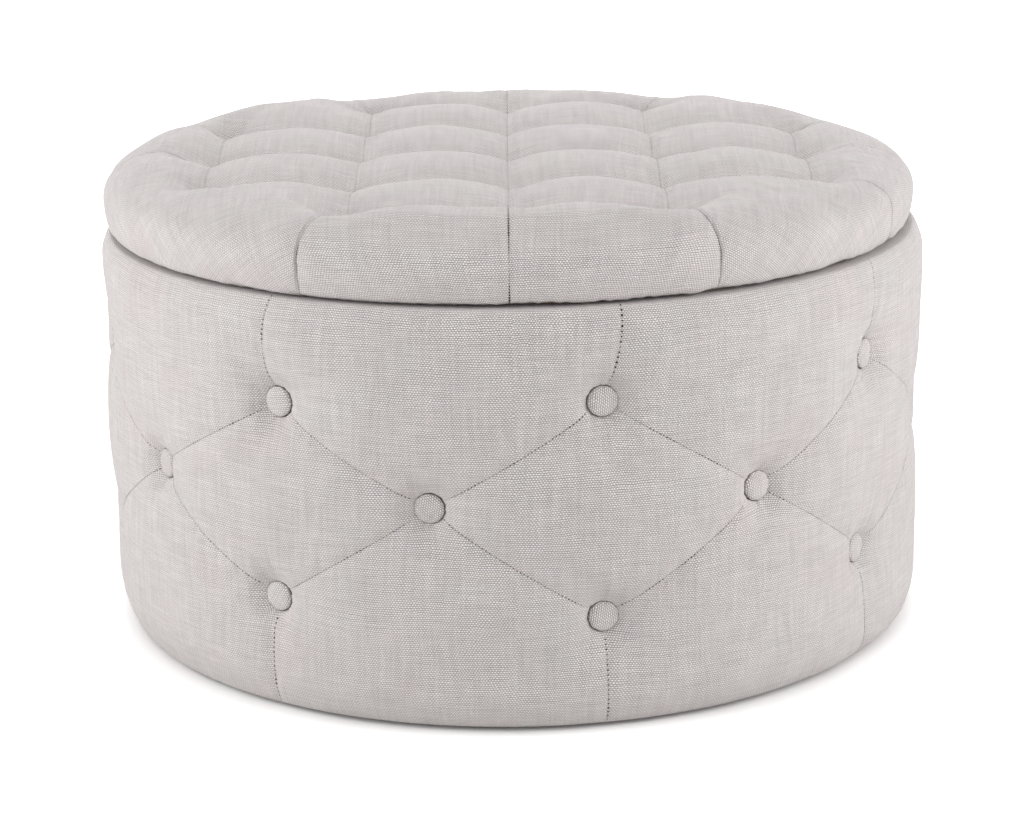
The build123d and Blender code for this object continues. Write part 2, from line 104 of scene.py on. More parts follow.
def length(name, description, default):
    """One length of the property group, in metres."""
    return bpy.props.FloatProperty(
        name=name, description=description, default=default, unit="LENGTH", precision=4
    )


def colour(name, description, hex_code):
    """One colour of the property group, given as an sRGB hex code."""
    return bpy.props.FloatVectorProperty(
        name=name, description=description, default=linear(hex_code), size=4, min=0, max=1, subtype="COLOR"
    )


def linear(hex_code):
    """Linear colour with alpha from an sRGB hex code."""
    values = [int(hex_code[place:place + 2], 16) / 255 for place in (1, 3, 5)]
    values = [value / 12.92 if value <= 0.04045 else ((value + 0.055) / 1.055) ** 2.4 for value in values]
    return (*values, 1.0)


class OttomanSizes(bpy.types.PropertyGroup):
    """Sizes of the upholstery."""
    side_swell: length("Side swell", "How far the middle of the drum stands out", 2.4 * MM)
    foot_drop: length("Foot drop", "How far the foot of the drum draws in", 17 * MM)
    foot_height: length("Foot height", "Height over which the foot draws in", 42 * MM)
    dimple_depth: length("Dimple depth", "How far the padding draws in round a button", 9.5 * MM)
    dimple_reach: length("Dimple reach", "Distance at which the dimple has mostly gone", 46 * MM)
    pocket_depth: length("Pocket depth", "Extra depth of the pocket that holds a button", 11 * MM)
    pocket_reach: length("Pocket reach", "Radius of that pocket", 20 * MM)
    seam_depth: length("Side seam depth", "Depth of the sharp crease along a side seam", 1.3 * MM)
    seam_hollow: length("Side seam hollow", "Depth of the wide hollow along a side seam", 0.7 * MM)
    stitch_pitch: length("Stitch pitch", "Distance from one stitch to the next", 3.55 * MM)
    upright_pitch: length("Upright stitch pitch", "The same in the upright seams", 4.4 * MM)
    thread_radius: length("Thread radius", "Half the thickness of the sewing thread", 0.35 * MM)
    warp_spacing: length("Warp spacing", "Distance between upright threads", 1.24 * MM)
    weft_spacing: length("Weft spacing", "Distance between level threads", 1.87 * MM)
    lid_shift: length("Lid shift", "How far the lid sits off the middle of the drum", -2.3 * MM)
    lid_round: length("Lid round", "How far the lid's wall draws in towards its lower edge", 8 * MM)
    valley_depth: length("Valley depth", "Depth of a lid seam midway between two tufts", 23 * MM)
    tuft_depth: length("Tuft depth", "Depth of a tuft below the crest", 36 * MM)
    tuft_reach: length("Tuft reach", "How wide a tuft's pit opens", 33 * MM)
    lid_dome: length("Lid dome", "How far the middle of the lid stands above its rim", 3.2 * MM)
    front_fullness: length("Front fullness", "Extra height of the lid's front rim", 11 * MM)
    rim_seam_depth: length("Rim seam depth", "Depth of a lid seam on the rolled rim", 1.5 * MM)


class OttomanColours(bpy.types.PropertyGroup):
    """Colours of the materials."""
    # The raised, sunk and gap tones below are one yarn, lit and in painted shade, standing for the light and
    # shade of the weave's relief
    linen: colour("Linen", "Raised yarn of the cover cloth", "#F8F5F4")
    sunk_yarn_painted_shade: colour("Sunk linen", "Yarn that passes under, in the cover cloth", "#C6C0BF")
    gap_painted_shade: colour("Linen gaps", "Shade between the threads of the cover cloth", "#726C6B")
    # Painted sheen: the mean tone that the cloth's colour turns to where it is seen at a grazing angle
    painted_sheen_tone: colour("Linen fuzz", "Mean tone of the cover cloth, seen at a grazing angle", "#BEB9B8")
    thread: colour("Sewing thread", "Thread of the seams", "#BDB7B4")
    # Painted shade: the dark tone put at a needle hole stands for the shade inside it
    painted_hole_shade: colour("Needle holes", "Shaded hole between two stitches", "#3A3331")
    lining: colour("Lining cloth", "Plain cloth inside the storage space", "#3A3836")
    dust_cloth: colour("Dust cloth", "Non-woven cloth underneath", "#1D1D1D")
    plywood: colour("Birch plywood", "Boards and hoops", "#D9BE93")
    pine: colour("Pine", "Posts, blocks and toggles", "#DDBB86")
    hardboard: colour("Hardboard", "Floor panel and liner", "#8A6A4C")
    zinc: colour("Zinc plate", "Screws and nails", "#C9CAC8")
    wire: colour("Staple wire", "Galvanised wire", "#C2C3C6")
    twine: colour("Waxed twine", "Button and tuft twines", "#C9B793")
    plastic: colour("Glide plastic", "Moulded floor glides", "#2B2B2C")
    floor: colour("Studio floor", "Paper floor and backdrop", "#F4F3F2")


def sizes():
    """The scene's sizes."""
    return bpy.context.scene.ottoman_sizes


def colours():
    """The scene's colours."""
    return bpy.context.scene.ottoman_colours


# Curves and meshes

def line(start, end, count):
    """Points evenly spaced from start to end, both included."""
    share = np.linspace(0, 1, count)[:, None]
    return np.array(start) * (1 - share) + np.array(end) * share


def corner(centre, half_width, half_height, first, last, count):
    """Points on a quarter or more of an ellipse, between two angles in degrees."""
    angle = np.radians(np.linspace(first, last, count))
    return np.stack([centre[0] + half_width * np.cos(angle), centre[1] + half_height * np.sin(angle)], 1)


def joined(*runs):
    """One outline from several runs of points, with the repeated joints left out."""
    same_place = MM / 100
    points = np.concatenate(runs)
    keep = np.r_[True, np.linalg.norm(np.diff(points, axis=0), axis=1) > same_place]
    return points[keep]


def outline_run(outline):
    """Distance along an outline at each of its points."""
    return np.r_[0, np.cumsum(np.linalg.norm(np.diff(outline, axis=0), axis=1))]


def outline_normal(outline):
    """Unit normals of an outline in the radius and level plane, to its left as it runs."""
    along = np.gradient(outline, axis=0)
    along /= np.linalg.norm(along, axis=1)[:, None]
    return np.stack([-along[:, 1], along[:, 0]], 1)


def to_space(theta, radius, level):
    """Points from an angle counted from the front, a radius and a level."""
    theta, radius, level = np.broadcast_arrays(theta, radius, level)
    return np.stack([radius * np.sin(theta), -radius * np.cos(theta), level], -1)


def unevenness(across, along, scale, seed):
    """Soft random waviness between about -1 and 1: a sum of twelve plane waves in random directions."""
    waves = 12
    random = np.random.default_rng(seed)
    total = np.zeros(np.broadcast(across, along).shape)
    for _ in range(waves):
        turn, phase = random.uniform(0, FULL_TURN), random.uniform(0, FULL_TURN)
        stretch = random.uniform(0.6, 1.6)
        wave = (across * np.cos(turn) + along * np.sin(turn)) * FULL_TURN / (scale * stretch)
        total += np.sin(wave + phase)
    return total / np.sqrt(waves)


def add_mesh(name, vertices, faces, cloth=None, materials=(), face_materials=None):
    """A smooth shaded mesh object from arrays, with a UV map named cloth in metres if one is given."""
    vertices = np.ascontiguousarray(vertices, np.float32)
    sides = (faces >= 0).sum(1)
    loops = faces[faces >= 0].astype(np.int32)
    mesh = bpy.data.meshes.new(name)
    mesh.vertices.add(len(vertices))
    mesh.vertices.foreach_set("co", vertices.ravel())
    mesh.loops.add(len(loops))
    mesh.loops.foreach_set("vertex_index", loops)
    mesh.polygons.add(len(faces))
    mesh.polygons.foreach_set("loop_start", np.r_[0, np.cumsum(sides)[:-1]].astype(np.int32))
    mesh.polygons.foreach_set("use_smooth", np.ones(len(faces), bool))
    for material in materials:
        mesh.materials.append(material)
    if face_materials is not None:
        mesh.polygons.foreach_set("material_index", face_materials.astype(np.int32))
    if cloth is not None:
        layer = mesh.uv_layers.new(name="cloth")
        layer.data.foreach_set("uv", np.ascontiguousarray(cloth[faces >= 0], np.float32).ravel())
    mesh.update(calc_edges=True)
    mesh.validate()
    made = bpy.data.objects.new(name, mesh)
    bpy.context.scene.collection.objects.link(made)
    return made


def grid_faces(rows, columns, close_rows, close_columns):
    """Corner numbers of a grid's four sided faces, each as a row of (row, column) pairs before wrapping."""
    row = np.arange(rows if close_rows else rows - 1)
    column = np.arange(columns if close_columns else columns - 1)
    row, column = np.meshgrid(row, column, indexing="ij")
    corners = [(row, column), (row, column + 1), (row + 1, column + 1), (row + 1, column)]
    return np.stack([np.stack([r.ravel(), c.ravel()], -1) for r, c in corners], 1)


def turned_surface(name, points, along, around, materials, close_rows=False, poles=()):
    """A grid of points that closes round the middle axis.

    points is rows by columns by 3, along the distance down the rows and around the one round the columns,
    both with one more value than the grid has where it closes. A pole is a point that closes the first or
    the last row with a fan of triangles. The faces are turned outwards by the sign of the volume inside.
    """
    rows, columns = points.shape[:2]
    pairs = grid_faces(rows, columns, close_rows, True)
    faces = (pairs[..., 0] % rows) * columns + pairs[..., 1] % columns
    cloth = np.stack([around[np.minimum(pairs[..., 0], rows - 1), pairs[..., 1]],
                      along[pairs[..., 0], np.minimum(pairs[..., 1], columns - 1)]], -1)
    vertices = points.reshape(-1, 3)
    for row, pole in zip((0, rows - 1), poles):
        index = np.arange(columns)
        ends = [row * columns + index, row * columns + (index + 1) % columns]
        fan = fan_faces(len(vertices), *(ends[::-1] if row == 0 else ends))
        fan_cloth = np.zeros((columns, 4, 2))
        fan_cloth[:, 0] = [0, along[row, 0]]
        for place, shift in ((1, row == 0), (2, row != 0)):
            fan_cloth[:, place] = np.stack([around[row, index + shift], along[row, index]], -1)
        vertices = np.concatenate([vertices, [pole]])
        faces, cloth = np.concatenate([faces, fan]), np.concatenate([cloth, fan_cloth])
    first, second, third = (vertices[faces[:, corner_number]] for corner_number in (0, 1, 2))
    fourth = vertices[np.where(faces[:, 3] < 0, faces[:, 2], faces[:, 3])]
    volume = np.einsum("ij,ij->i", first, np.cross(second, third) + np.cross(third, fourth)).sum()
    if volume < 0:
        order = np.where(faces[:, 3:] < 0, [[2, 1, 0, 3]], [[3, 2, 1, 0]])
        faces, cloth = np.take_along_axis(faces, order, 1), np.take_along_axis(cloth, order[..., None], 1)
    return add_mesh(name, vertices, faces, cloth, materials)


# Surfaces that the stitches are laid on: points of the shown grid, by row and column
shown_grids = {}


def grid_normals(points):
    """Outward unit normals of a grid that closes round the middle axis."""
    down = np.gradient(points, axis=0)
    round_it = np.roll(points, -1, 1) - np.roll(points, 1, 1)
    normal = np.cross(round_it, down)
    normal /= np.maximum(np.linalg.norm(normal, axis=2, keepdims=True), 1e-12)
    flip = np.sign((normal * (points - [0, 0, side_high.z / 2])).sum())
    return normal * flip


def on_grid(name, row, theta):
    """Points and normals at fractional rows and angles of a shown grid, mixed from four corners each."""
    points, normals = shown_grids[name]
    columns = points.shape[1]
    row = np.clip(row, 0, points.shape[0] - 1.001)
    column = theta / FULL_TURN * columns
    top, left = np.floor(row).astype(int), np.floor(column).astype(int)
    down, across = (row - top)[:, None], (column - left)[:, None]
    left, right = left % columns, (left + 1) % columns
    mixed = []
    for grid in (points, normals):
        upper = grid[top, left] * (1 - across) + grid[top, right] * across
        lower = grid[top + 1, left] * (1 - across) + grid[top + 1, right] * across
        mixed.append(upper * (1 - down) + lower * down)
    return mixed


# Distances, and what falls off with them

FAR_AWAY = 1.0


def wrapped(turn):
    """An angle brought to within half a turn of zero."""
    return (turn + np.pi) % FULL_TURN - np.pi


def fall_off(distance, reach, power=2):
    """One at no distance, about a third at the reach, and soon nothing beyond it."""
    return np.exp(-(distance / reach) ** power)


def bell(turn, width):
    """The same for an angle that may have gone round."""
    return fall_off(wrapped(turn), width)


def all_round(columns):
    """Even angles round a full turn, as one row."""
    return np.linspace(0, FULL_TURN, columns, endpoint=False)[None]


def ring_faces(rows, columns):
    """Vertex numbers of the faces of a grid whose rows close into rings."""
    pairs = grid_faces(rows, columns, False, True)
    return pairs[..., 0] * columns + pairs[..., 1] % columns


def fan_faces(middle, first, second):
    """Triangles from one middle vertex to pairs of neighbours on a ring."""
    return np.stack([np.full(len(first), middle), first, second, np.full(len(first), -1)], 1)


def lay_flat(made, flat):
    """Give every face corner the place of its own vertex on the flat cloth."""
    corner_index = np.zeros(len(made.data.loops), np.int32)
    made.data.loops.foreach_get("vertex_index", corner_index)
    made.data.uv_layers["cloth"].data.foreach_set("uv", flat[corner_index].astype(np.float32).ravel())


# Swelling of the padded covers, by cloth simulation

# What the simulation adds to a cover: its coarse grid's first place and spacing, and the rise at every place
settled = {}
# Points this close to a seam are held where they are
SEWN_REACH = 3.1 * MM
SWELL_FRAMES = 20
SWELL_PRESSURE = 4.0
# How much larger the cloth is cut than the form that it covers
LOOSE_SHARE = 0.015


def spline_shares(part):
    """Shares of four grid places in a smooth cubic curve, by the place between the middle two."""
    return ((1 - part) ** 3 / 6, (3 * part ** 3 - 6 * part ** 2 + 4) / 6,
            (-3 * part ** 3 + 3 * part ** 2 + 3 * part + 1) / 6, part ** 3 / 6)


def settling(name, across, along):
    """Smooth rise of a cover at the given places, zero if its simulation was skipped."""
    if name not in settled:
        return 0.0
    first, step, rise = settled[name]
    column, row = (across - first[0]) / step[0], (along - first[1]) / step[1]
    left, low = np.floor(column).astype(int), np.floor(row).astype(int)
    total = 0.0
    for down, row_share in enumerate(spline_shares(row - low)):
        for over, column_share in enumerate(spline_shares(column - left)):
            at_row = np.clip(low + down - 1, 0, rise.shape[0] - 1)
            at_column = (left + over - 1) % rise.shape[1]
            total = total + row_share * column_share * rise[at_row, at_column]
    return total


def swell(points, closed, sewn):
    """Points of a coarse grid after some frames as loose cloth, blown outwards and held where sewn."""
    rows, columns = points.shape[:2]
    pairs = grid_faces(rows, columns, False, closed)
    faces = pairs[..., 0] * columns + pairs[..., 1] % columns
    made = add_mesh("coarse_cover", points.reshape(-1, 3), faces)
    group = made.vertex_groups.new(name="sewn")
    group.add(np.flatnonzero(sewn).tolist(), 1.0, "REPLACE")
    settings = made.modifiers.new("Cloth", "CLOTH").settings
    settings.vertex_group_mass = group.name
    settings.use_pressure = True
    settings.uniform_pressure_force = SWELL_PRESSURE
    settings.shrink_min = -LOOSE_SHARE
    settings.effector_weights.gravity = 0.0
    scene = bpy.context.scene
    for number in range(1, SWELL_FRAMES + 1):
        scene.frame_set(number)
    shown = made.evaluated_get(bpy.context.evaluated_depsgraph_get()).data
    places = np.zeros(rows * columns * 3, np.float32)
    shown.vertices.foreach_get("co", places)
    mesh = made.data
    bpy.data.objects.remove(made)
    bpy.data.meshes.remove(mesh)
    scene.frame_set(1)
    return places.reshape(rows, columns, 3)


def settle_side():
    """Swell the drum's cover between its seams and buttons and keep how far it moved outwards."""
    around, up = 360, 56
    edge = 4 * MM
    button_hold = 17 * MM
    cap = 1.7 * MM
    outline, _, outer = side_outline()
    theta = all_round(around)
    level = np.linspace(side_low.z + edge, side_high.z - edge, up)[:, None]
    radius = np.interp(level, outline[outer, 1][::-1], outline[outer, 0][::-1]) - side_inset(theta, level)
    sewn = (seam_distance(theta, level) < SEWN_REACH) | (button_distance(theta, level) < button_hold)
    sewn[[0, 1, -2, -1]] = True
    moved = swell(to_space(theta, radius, level), True, sewn)
    rise = np.hypot(moved[..., 0], moved[..., 1]) - radius
    step = (FULL_TURN / around, level[1, 0] - level[0, 0])
    settled["side"] = ((0, level[0, 0]), step, cap * np.tanh(rise / cap))


def settle_lid():
    """Swell the lid's cover between its seams and tufts and keep how far it rose."""
    step, count = 6 * MM, 125
    held_radius = 350 * MM
    tuft_hold = 9 * MM
    cap = 4 * MM
    outline = lid_outline()
    widest = int(np.argmax(outline[:, 0]))
    line_places = (np.arange(count) - (count - 1) / 2) * step
    x, y = np.meshgrid(line_places, line_places)
    radius = np.hypot(x, y)
    level = np.interp(radius, outline[:widest, 0], outline[:widest, 1]) - lid_inset(x, y)
    sewn = radius > held_radius
    for start, end, _, _ in lid_seams():
        sewn |= segment_distance(x, y, start, end) < SEWN_REACH
    for across, along in tuft_places():
        sewn |= np.hypot(x - across, y - along) < tuft_hold
    moved = swell(np.stack([x, y, level], -1), False, sewn)
    rise = moved[..., 2] - level
    settled["lid"] = ((line_places[0], line_places[0]), (step, step), cap * np.tanh(rise / cap))


# Side of the drum

def button_places():
    """Row name, angle and level of every button, a little uneven as sewn by hand."""
    hand_spread = 1.5
    random = np.random.default_rng(2)
    places = {}
    for name, level in ROW_LEVELS.items():
        first = OUTER_ROW_ANGLE + (BUTTON_STEP / 2 if level == MIDDLE else 0)
        for number in range(BUTTON_COUNT):
            across, up = HAND_SHIFTS[name].get(number, random.normal(0, hand_spread, 2))
            angle = first + number * BUTTON_STEP + across * MM / SEAT_DISTANCE
            places[name, number] = (angle, level + up * MM)
    return places


def button_leans():
    """Direction in which each button stands proudest, as an angle from the right."""
    random = np.random.default_rng(14)
    leans = {place: BUTTON_LEANS.get(place, random.uniform(-180, 180)) for place in button_places()}
    return {place: np.radians(lean) for place, lean in leans.items()}


def seam_runs():
    """Angles and levels of every seam: the diamonds' straight ones, then the upright ones."""
    rim_spread = 4
    foot_spread = 1.5
    places = button_places()
    share = np.linspace(0, 1, 7)
    diamonds, uprights = [], []
    random = np.random.default_rng(4)
    for number in range(BUTTON_COUNT):
        for outer_row in ("upper_row_buttons", "lower_row_buttons"):
            angle, level = places[outer_row, number]
            for back in (0, 1):
                other, other_level = places["middle_row_buttons", (number - back) % BUTTON_COUNT]
                angles = angle + np.array([0, wrapped(other - angle)])
                diamonds.append((angles, np.array([level, other_level])))
        angle, level = places["upper_row_buttons", number]
        bow, lean = RIM_SEAM_BOWS.get(number, random.normal(0, rim_spread, 2))
        sway = (bow * np.sin(np.pi * share) + lean * np.sin(np.pi / 2 * share)) * MM / side_high.x
        uprights.append((angle + sway, level + (side_high.z - level) * share))
        angle, level = places["lower_row_buttons", number]
        sway = random.normal(0, foot_spread) * MM / side_high.x * share
        uprights.append((angle + sway, level * (1 - share)))
    return diamonds, uprights


def segment_distance(across, along, start, end):
    """Distance from each point to a straight segment."""
    run = np.array(end) - np.array(start)
    share = np.clip(((across - start[0]) * run[0] + (along - start[1]) * run[1]) / (run @ run), 0, 1)
    return np.hypot(across - start[0] - share * run[0], along - start[1] - share * run[1])


def button_distance(theta, level):
    """Distance over the cloth to the nearest button."""
    nearest = np.full(np.broadcast(theta, level).shape, FAR_AWAY)
    for angle, height in button_places().values():
        nearest = np.minimum(nearest, np.hypot(wrapped(theta - angle) * side_high.x, level - height))
    return nearest


def seam_distance(theta, level):
    """Distance over the cloth to the nearest seam."""
    nearest = np.full(np.broadcast(theta, level).shape, FAR_AWAY)
    diamonds, uprights = seam_runs()
    for angles, levels in diamonds + uprights:
        away = wrapped(theta - angles[0]) * side_high.x
        stations = (angles - angles[0]) * side_high.x
        for place in range(len(angles) - 1):
            ends = [(stations[end], levels[end]) for end in (place, place + 1)]
            nearest = np.minimum(nearest, segment_distance(away, level, *ends))
    return nearest


def side_inset(theta, level):
    """How far the cover lies inside its full round form.

    The nearest button gives a wide dimple and a narrow pocket, each a bell of its distance. The nearest seam
    gives a sharp crease and a wide hollow that fall off with its distance, with small puckers beside the
    crease. The middle of the drum swells out a little, the foot draws in on the left and stands out on the
    right, and soft unevenness is added everywhere.
    """
    crease_width, hollow_width = 4 * MM, 24 * MM
    pucker_depth, pucker_wave = 0.3 * MM, 11 * MM
    pucker_out, pucker_width = 5 * MM, 5 * MM
    pucker_start = 20 * MM
    fold_depth, fold_wave = 0.35 * MM, 60 * MM
    fold_out, fold_width = 24 * MM, 12 * MM
    fold_centre = -1 * MM
    left_draw, right_fullness = 4.5 * MM, 3.0 * MM
    foot_reach = 42 * MM
    foot_angle, foot_width = np.radians(62), np.radians(26)
    wide_depth, wide_wave = 0.5 * MM, 110 * MM
    s = sizes()
    button, seam = button_distance(theta, level), seam_distance(theta, level)
    inset = s.dimple_depth * fall_off(button, s.dimple_reach, 1.3)
    inset += s.pocket_depth * fall_off(button, s.pocket_reach, 2.5)
    inset += s.seam_depth * fall_off(seam, crease_width, 1.5) + s.seam_hollow * fall_off(seam, hollow_width)
    around = theta * side_high.x
    beside = fall_off(seam - pucker_out, pucker_width) * np.clip(button / pucker_start - 0.8, 0, 1)
    inset += pucker_depth * unevenness(around, level, pucker_wave, 3) * beside
    spokes = 9 * np.arctan2(level - MIDDLE, around - fold_centre)
    folds = np.sin(unevenness(around, level, fold_wave, 8) * 3 + spokes)
    inset += fold_depth * folds * fall_off(button - fold_out, fold_width)
    height = np.clip((level - side_low.z) / (side_high.z - side_low.z), 0, 1)
    inset -= s.side_swell * np.sin(np.pi * height) ** 0.6
    foot = fall_off(level, foot_reach)
    inset += left_draw * bell(theta + foot_angle, foot_width) * foot
    inset -= right_fullness * bell(theta - foot_angle, foot_width) * foot
    round_x, round_y = np.sin(theta) * side_high.x, level + np.cos(theta) * side_high.x
    inset = inset + wide_depth * unevenness(round_x, round_y, wide_wave, 5)
    return inset - settling("side", theta % FULL_TURN, level)


def side_outline():
    """Outline of the side cover and its padding in radius and level, with each point's share of the inset.

    It runs from the hem inside the rim over the rim, down the side and under the board, and back inside.
    """
    s = sizes()
    fold = 3 * MM
    foam = 1.2 * MM
    clear = 0.2 * MM
    under_width = 46 * MM
    shoulder_width, shoulder_height = 8.5 * MM, 25 * MM
    radius, top, low = side_high.x, side_high.z, side_low.z
    hem = hoop_high.x - 31.2 * MM
    wall, wall_top = wall_high.x + clear, wall_high.z + clear
    under = wall_high.x - under_width
    drop, rise = s.foot_drop, s.foot_height
    shoulder = (radius - shoulder_width, top - shoulder_height)
    round_top = corner(shoulder, shoulder_width, shoulder_height, 90, 0, 16)
    round_low = corner((radius - drop, low + rise), drop, rise, 0, -90, 22)
    outside = joined(round_top, line(round_top[-1], round_low[0], 120), round_low)
    inside_rim = joined(
        line((hem, hoop_low.z), (hem, top - fold), 6),
        corner((hem + fold, top - fold), fold, fold, 180, 90, 6),
        line((hem + fold, top), round_top[0], 14),
    )
    back = joined(
        line(round_low[-1], (under, low), 14),
        line((under, board_low.z), (wall, board_low.z), 4),
        line((wall, board_low.z), (wall, wall_top), 6),
        line((wall, wall_top), (hem + foam, wall_top), 4),
        line((hem + foam, wall_high.z), (hem + foam, hoop_low.z), 3),
    )
    outline = joined(inside_rim, outside, back)
    first = len(inside_rim) - 1
    last = first + len(outside)
    share = np.zeros(len(outline))
    share[first:last] = 1
    fade = 12
    share[first:first + fade] = np.linspace(0, 1, fade)
    share[last - fade:last] = np.linspace(1, 0, fade)
    return outline, share, slice(first, last)


def cloth_places(theta, run, level):
    """Places on the uncut cloth, in metres, round the drum and down it.

    The cloth is bent a little everywhere. Near a button it is drawn in towards it, so its threads fan out.
    """
    across_bend, down_bend = 1.5 * MM, 0.9 * MM
    bend_wave = 95 * MM
    pull_share, pull_reach = 0.28, 26 * MM
    round_x, round_y = np.sin(theta) * side_high.x, run + np.cos(theta) * side_high.x
    bent = across_bend * unevenness(round_x, round_y, bend_wave, 41)
    level_bent = down_bend * unevenness(round_x, round_y, bend_wave, 42)
    for angle, height in button_places().values():
        away = wrapped(theta - angle) * side_high.x
        pull = pull_share * fall_off(np.hypot(away, level - height), pull_reach, 1)
        bent = bent + pull * away
        level_bent = level_bent - pull * (level - height)
    return theta * side_high.x + bent, run + level_bent


def make_side_cover():
    """Sewn cover and padding of the drum: the outline turned round the axis, less the inset at each angle.

    Under the rings of cloth round the buttons it is sunk out of sight, though never into the wall.
    """
    ring_radius, ring_fade = 22 * MM, 4 * MM
    ring_sink, button_sink = 2.2 * MM, 2.6 * MM
    button_edge, button_fade = 17 * MM, 2.5 * MM
    least_padding = 1.6 * MM
    outline, share, outer = side_outline()
    columns = 960
    theta = all_round(columns)
    radius, level = outline[:, :1], outline[:, 1:]
    shown = radius - side_inset(theta, level) * share[:, None]
    button = button_distance(theta, level)
    under_ring = np.clip((ring_radius - button) / ring_fade, 0, 1) * share[:, None]
    near_button = np.clip((button_edge - button) / button_fade, 0, 1)
    sunk = shown - (ring_sink + button_sink * near_button) * under_ring
    sunk = np.maximum(sunk, wall_high.x + least_padding)
    points = to_space(theta, np.where(share[:, None] > 0, sunk, shown), level)
    shown_points = to_space(theta, shown, level)[outer]
    shown_grids["side"] = (shown_points, grid_normals(shown_points))
    turn = np.linspace(0, FULL_TURN, columns + 1)[None]
    run = outline_run(outline)
    run = np.r_[run, run[-1] + np.linalg.norm(outline[0] - outline[-1])][:, None]
    across, along = cloth_places(turn, run, np.r_[level, level[:1]])
    return turned_surface("side_upholstery", points, along[:, :-1], across[:-1], [linen()], close_rows=True)


def side_rows(level):
    """Fractional rows of the shown side grid at given levels."""
    outline, _, outer = side_outline()
    levels = outline[outer, 1]
    return np.interp(-level, -levels, np.arange(len(levels)))


def make_button_pockets():
    """Cloth drawn in round each button, as one ring of folds for each.

    Each ring runs from the crevice beside the button out over the dimple. Its height follows the side's own
    surface, with fine folds that point to the button and fade outwards. It is deepest on the side where its
    button stands proudest, and it ends a hair's breadth above that surface.
    """
    steps = np.r_[13.5, 13.62, 13.85, 14.3, 15.0, 15.9, 17.0, 18.4, 20, 22, 24.2, 26.5] * MM
    sink = np.r_[1.7, 1.3, 0.95, 0.62, 0.36, 0.18, 0.06, 0, 0, 0, 0, 0][:, None] * MM
    slip_spread = 0.12
    slip_radius, slip_fade = 20 * MM, 6 * MM
    ring_lift = 0.12 * MM
    fold_depth = 0.22 * MM
    fold_out, fold_width = 15.5 * MM, 4 * MM
    few_folds, many_folds = (9, 13), (15, 22)
    columns = 96
    outline, _, outer = side_outline()
    runs = outline_run(outline)[outer]
    leans = list(button_leans().values())
    spin = all_round(columns)
    out = steps[:, None]
    near = np.clip((slip_radius - out) / slip_fade, 0, 1)
    random = np.random.default_rng(12)
    pieces, faces, cloths = [], [], []
    for count, (angle, level) in enumerate(button_places().values()):
        slip = random.normal(0, slip_spread, 2) * MM
        theta = angle + (out * np.cos(spin) + slip[0] * near) / side_high.x
        at = level + (out * np.sin(spin) + slip[1] * near)
        on_side, normals = on_grid("side", side_rows(at.ravel()), theta.ravel())
        open_side = 0.35 + 1.6 * (0.5 + 0.5 * np.cos(spin - leans[count])) ** 2
        fold = np.sin(spin * random.integers(*few_folds) + random.uniform(0, FULL_TURN))
        fold += np.sin(spin * random.integers(*many_folds) + random.uniform(0, FULL_TURN))
        rise = ring_lift - sink * open_side + fold_depth * fold * fall_off(out - fold_out, fold_width)
        run = np.interp(-at, -outline[outer, 1], runs)
        index = ring_faces(len(steps), columns)[:, ::-1]
        cloths.append(np.stack(cloth_places(theta, run, at), -1).reshape(-1, 2)[index])
        faces.append(index + count * len(steps) * columns)
        pieces.append(on_side + normals * rise.reshape(-1, 1))
    return add_mesh("side_button_pockets", *map(np.concatenate, (pieces, faces, cloths)), [linen()])


# Buttons

def button_outline(radius):
    """Outline of a covered button in radius and height: flat back, rounded edge and low domed crown."""
    back_round = 1.6 * MM
    edge_level, edge_width, edge_height = 2.6 * MM, 1.2 * MM, 1.1 * MM
    crown_edge, crown_middle = 1.3 * MM, 0.4 * MM
    crown_top, crown_fall = 5.7 * MM, 2.0 * MM
    crown = np.linspace(radius - crown_edge, crown_middle, 14)
    return joined(
        line((0, 0), (radius * 0.9, 0), 3),
        corner((radius * 0.9, back_round), radius * 0.1, back_round, -90, 0, 5),
        corner((radius - edge_width, edge_level), edge_width, edge_height, 0, 75, 6),
        np.stack([crown, crown_top - crown_fall * (crown / radius) ** 2.6], 1),
    )[1:]


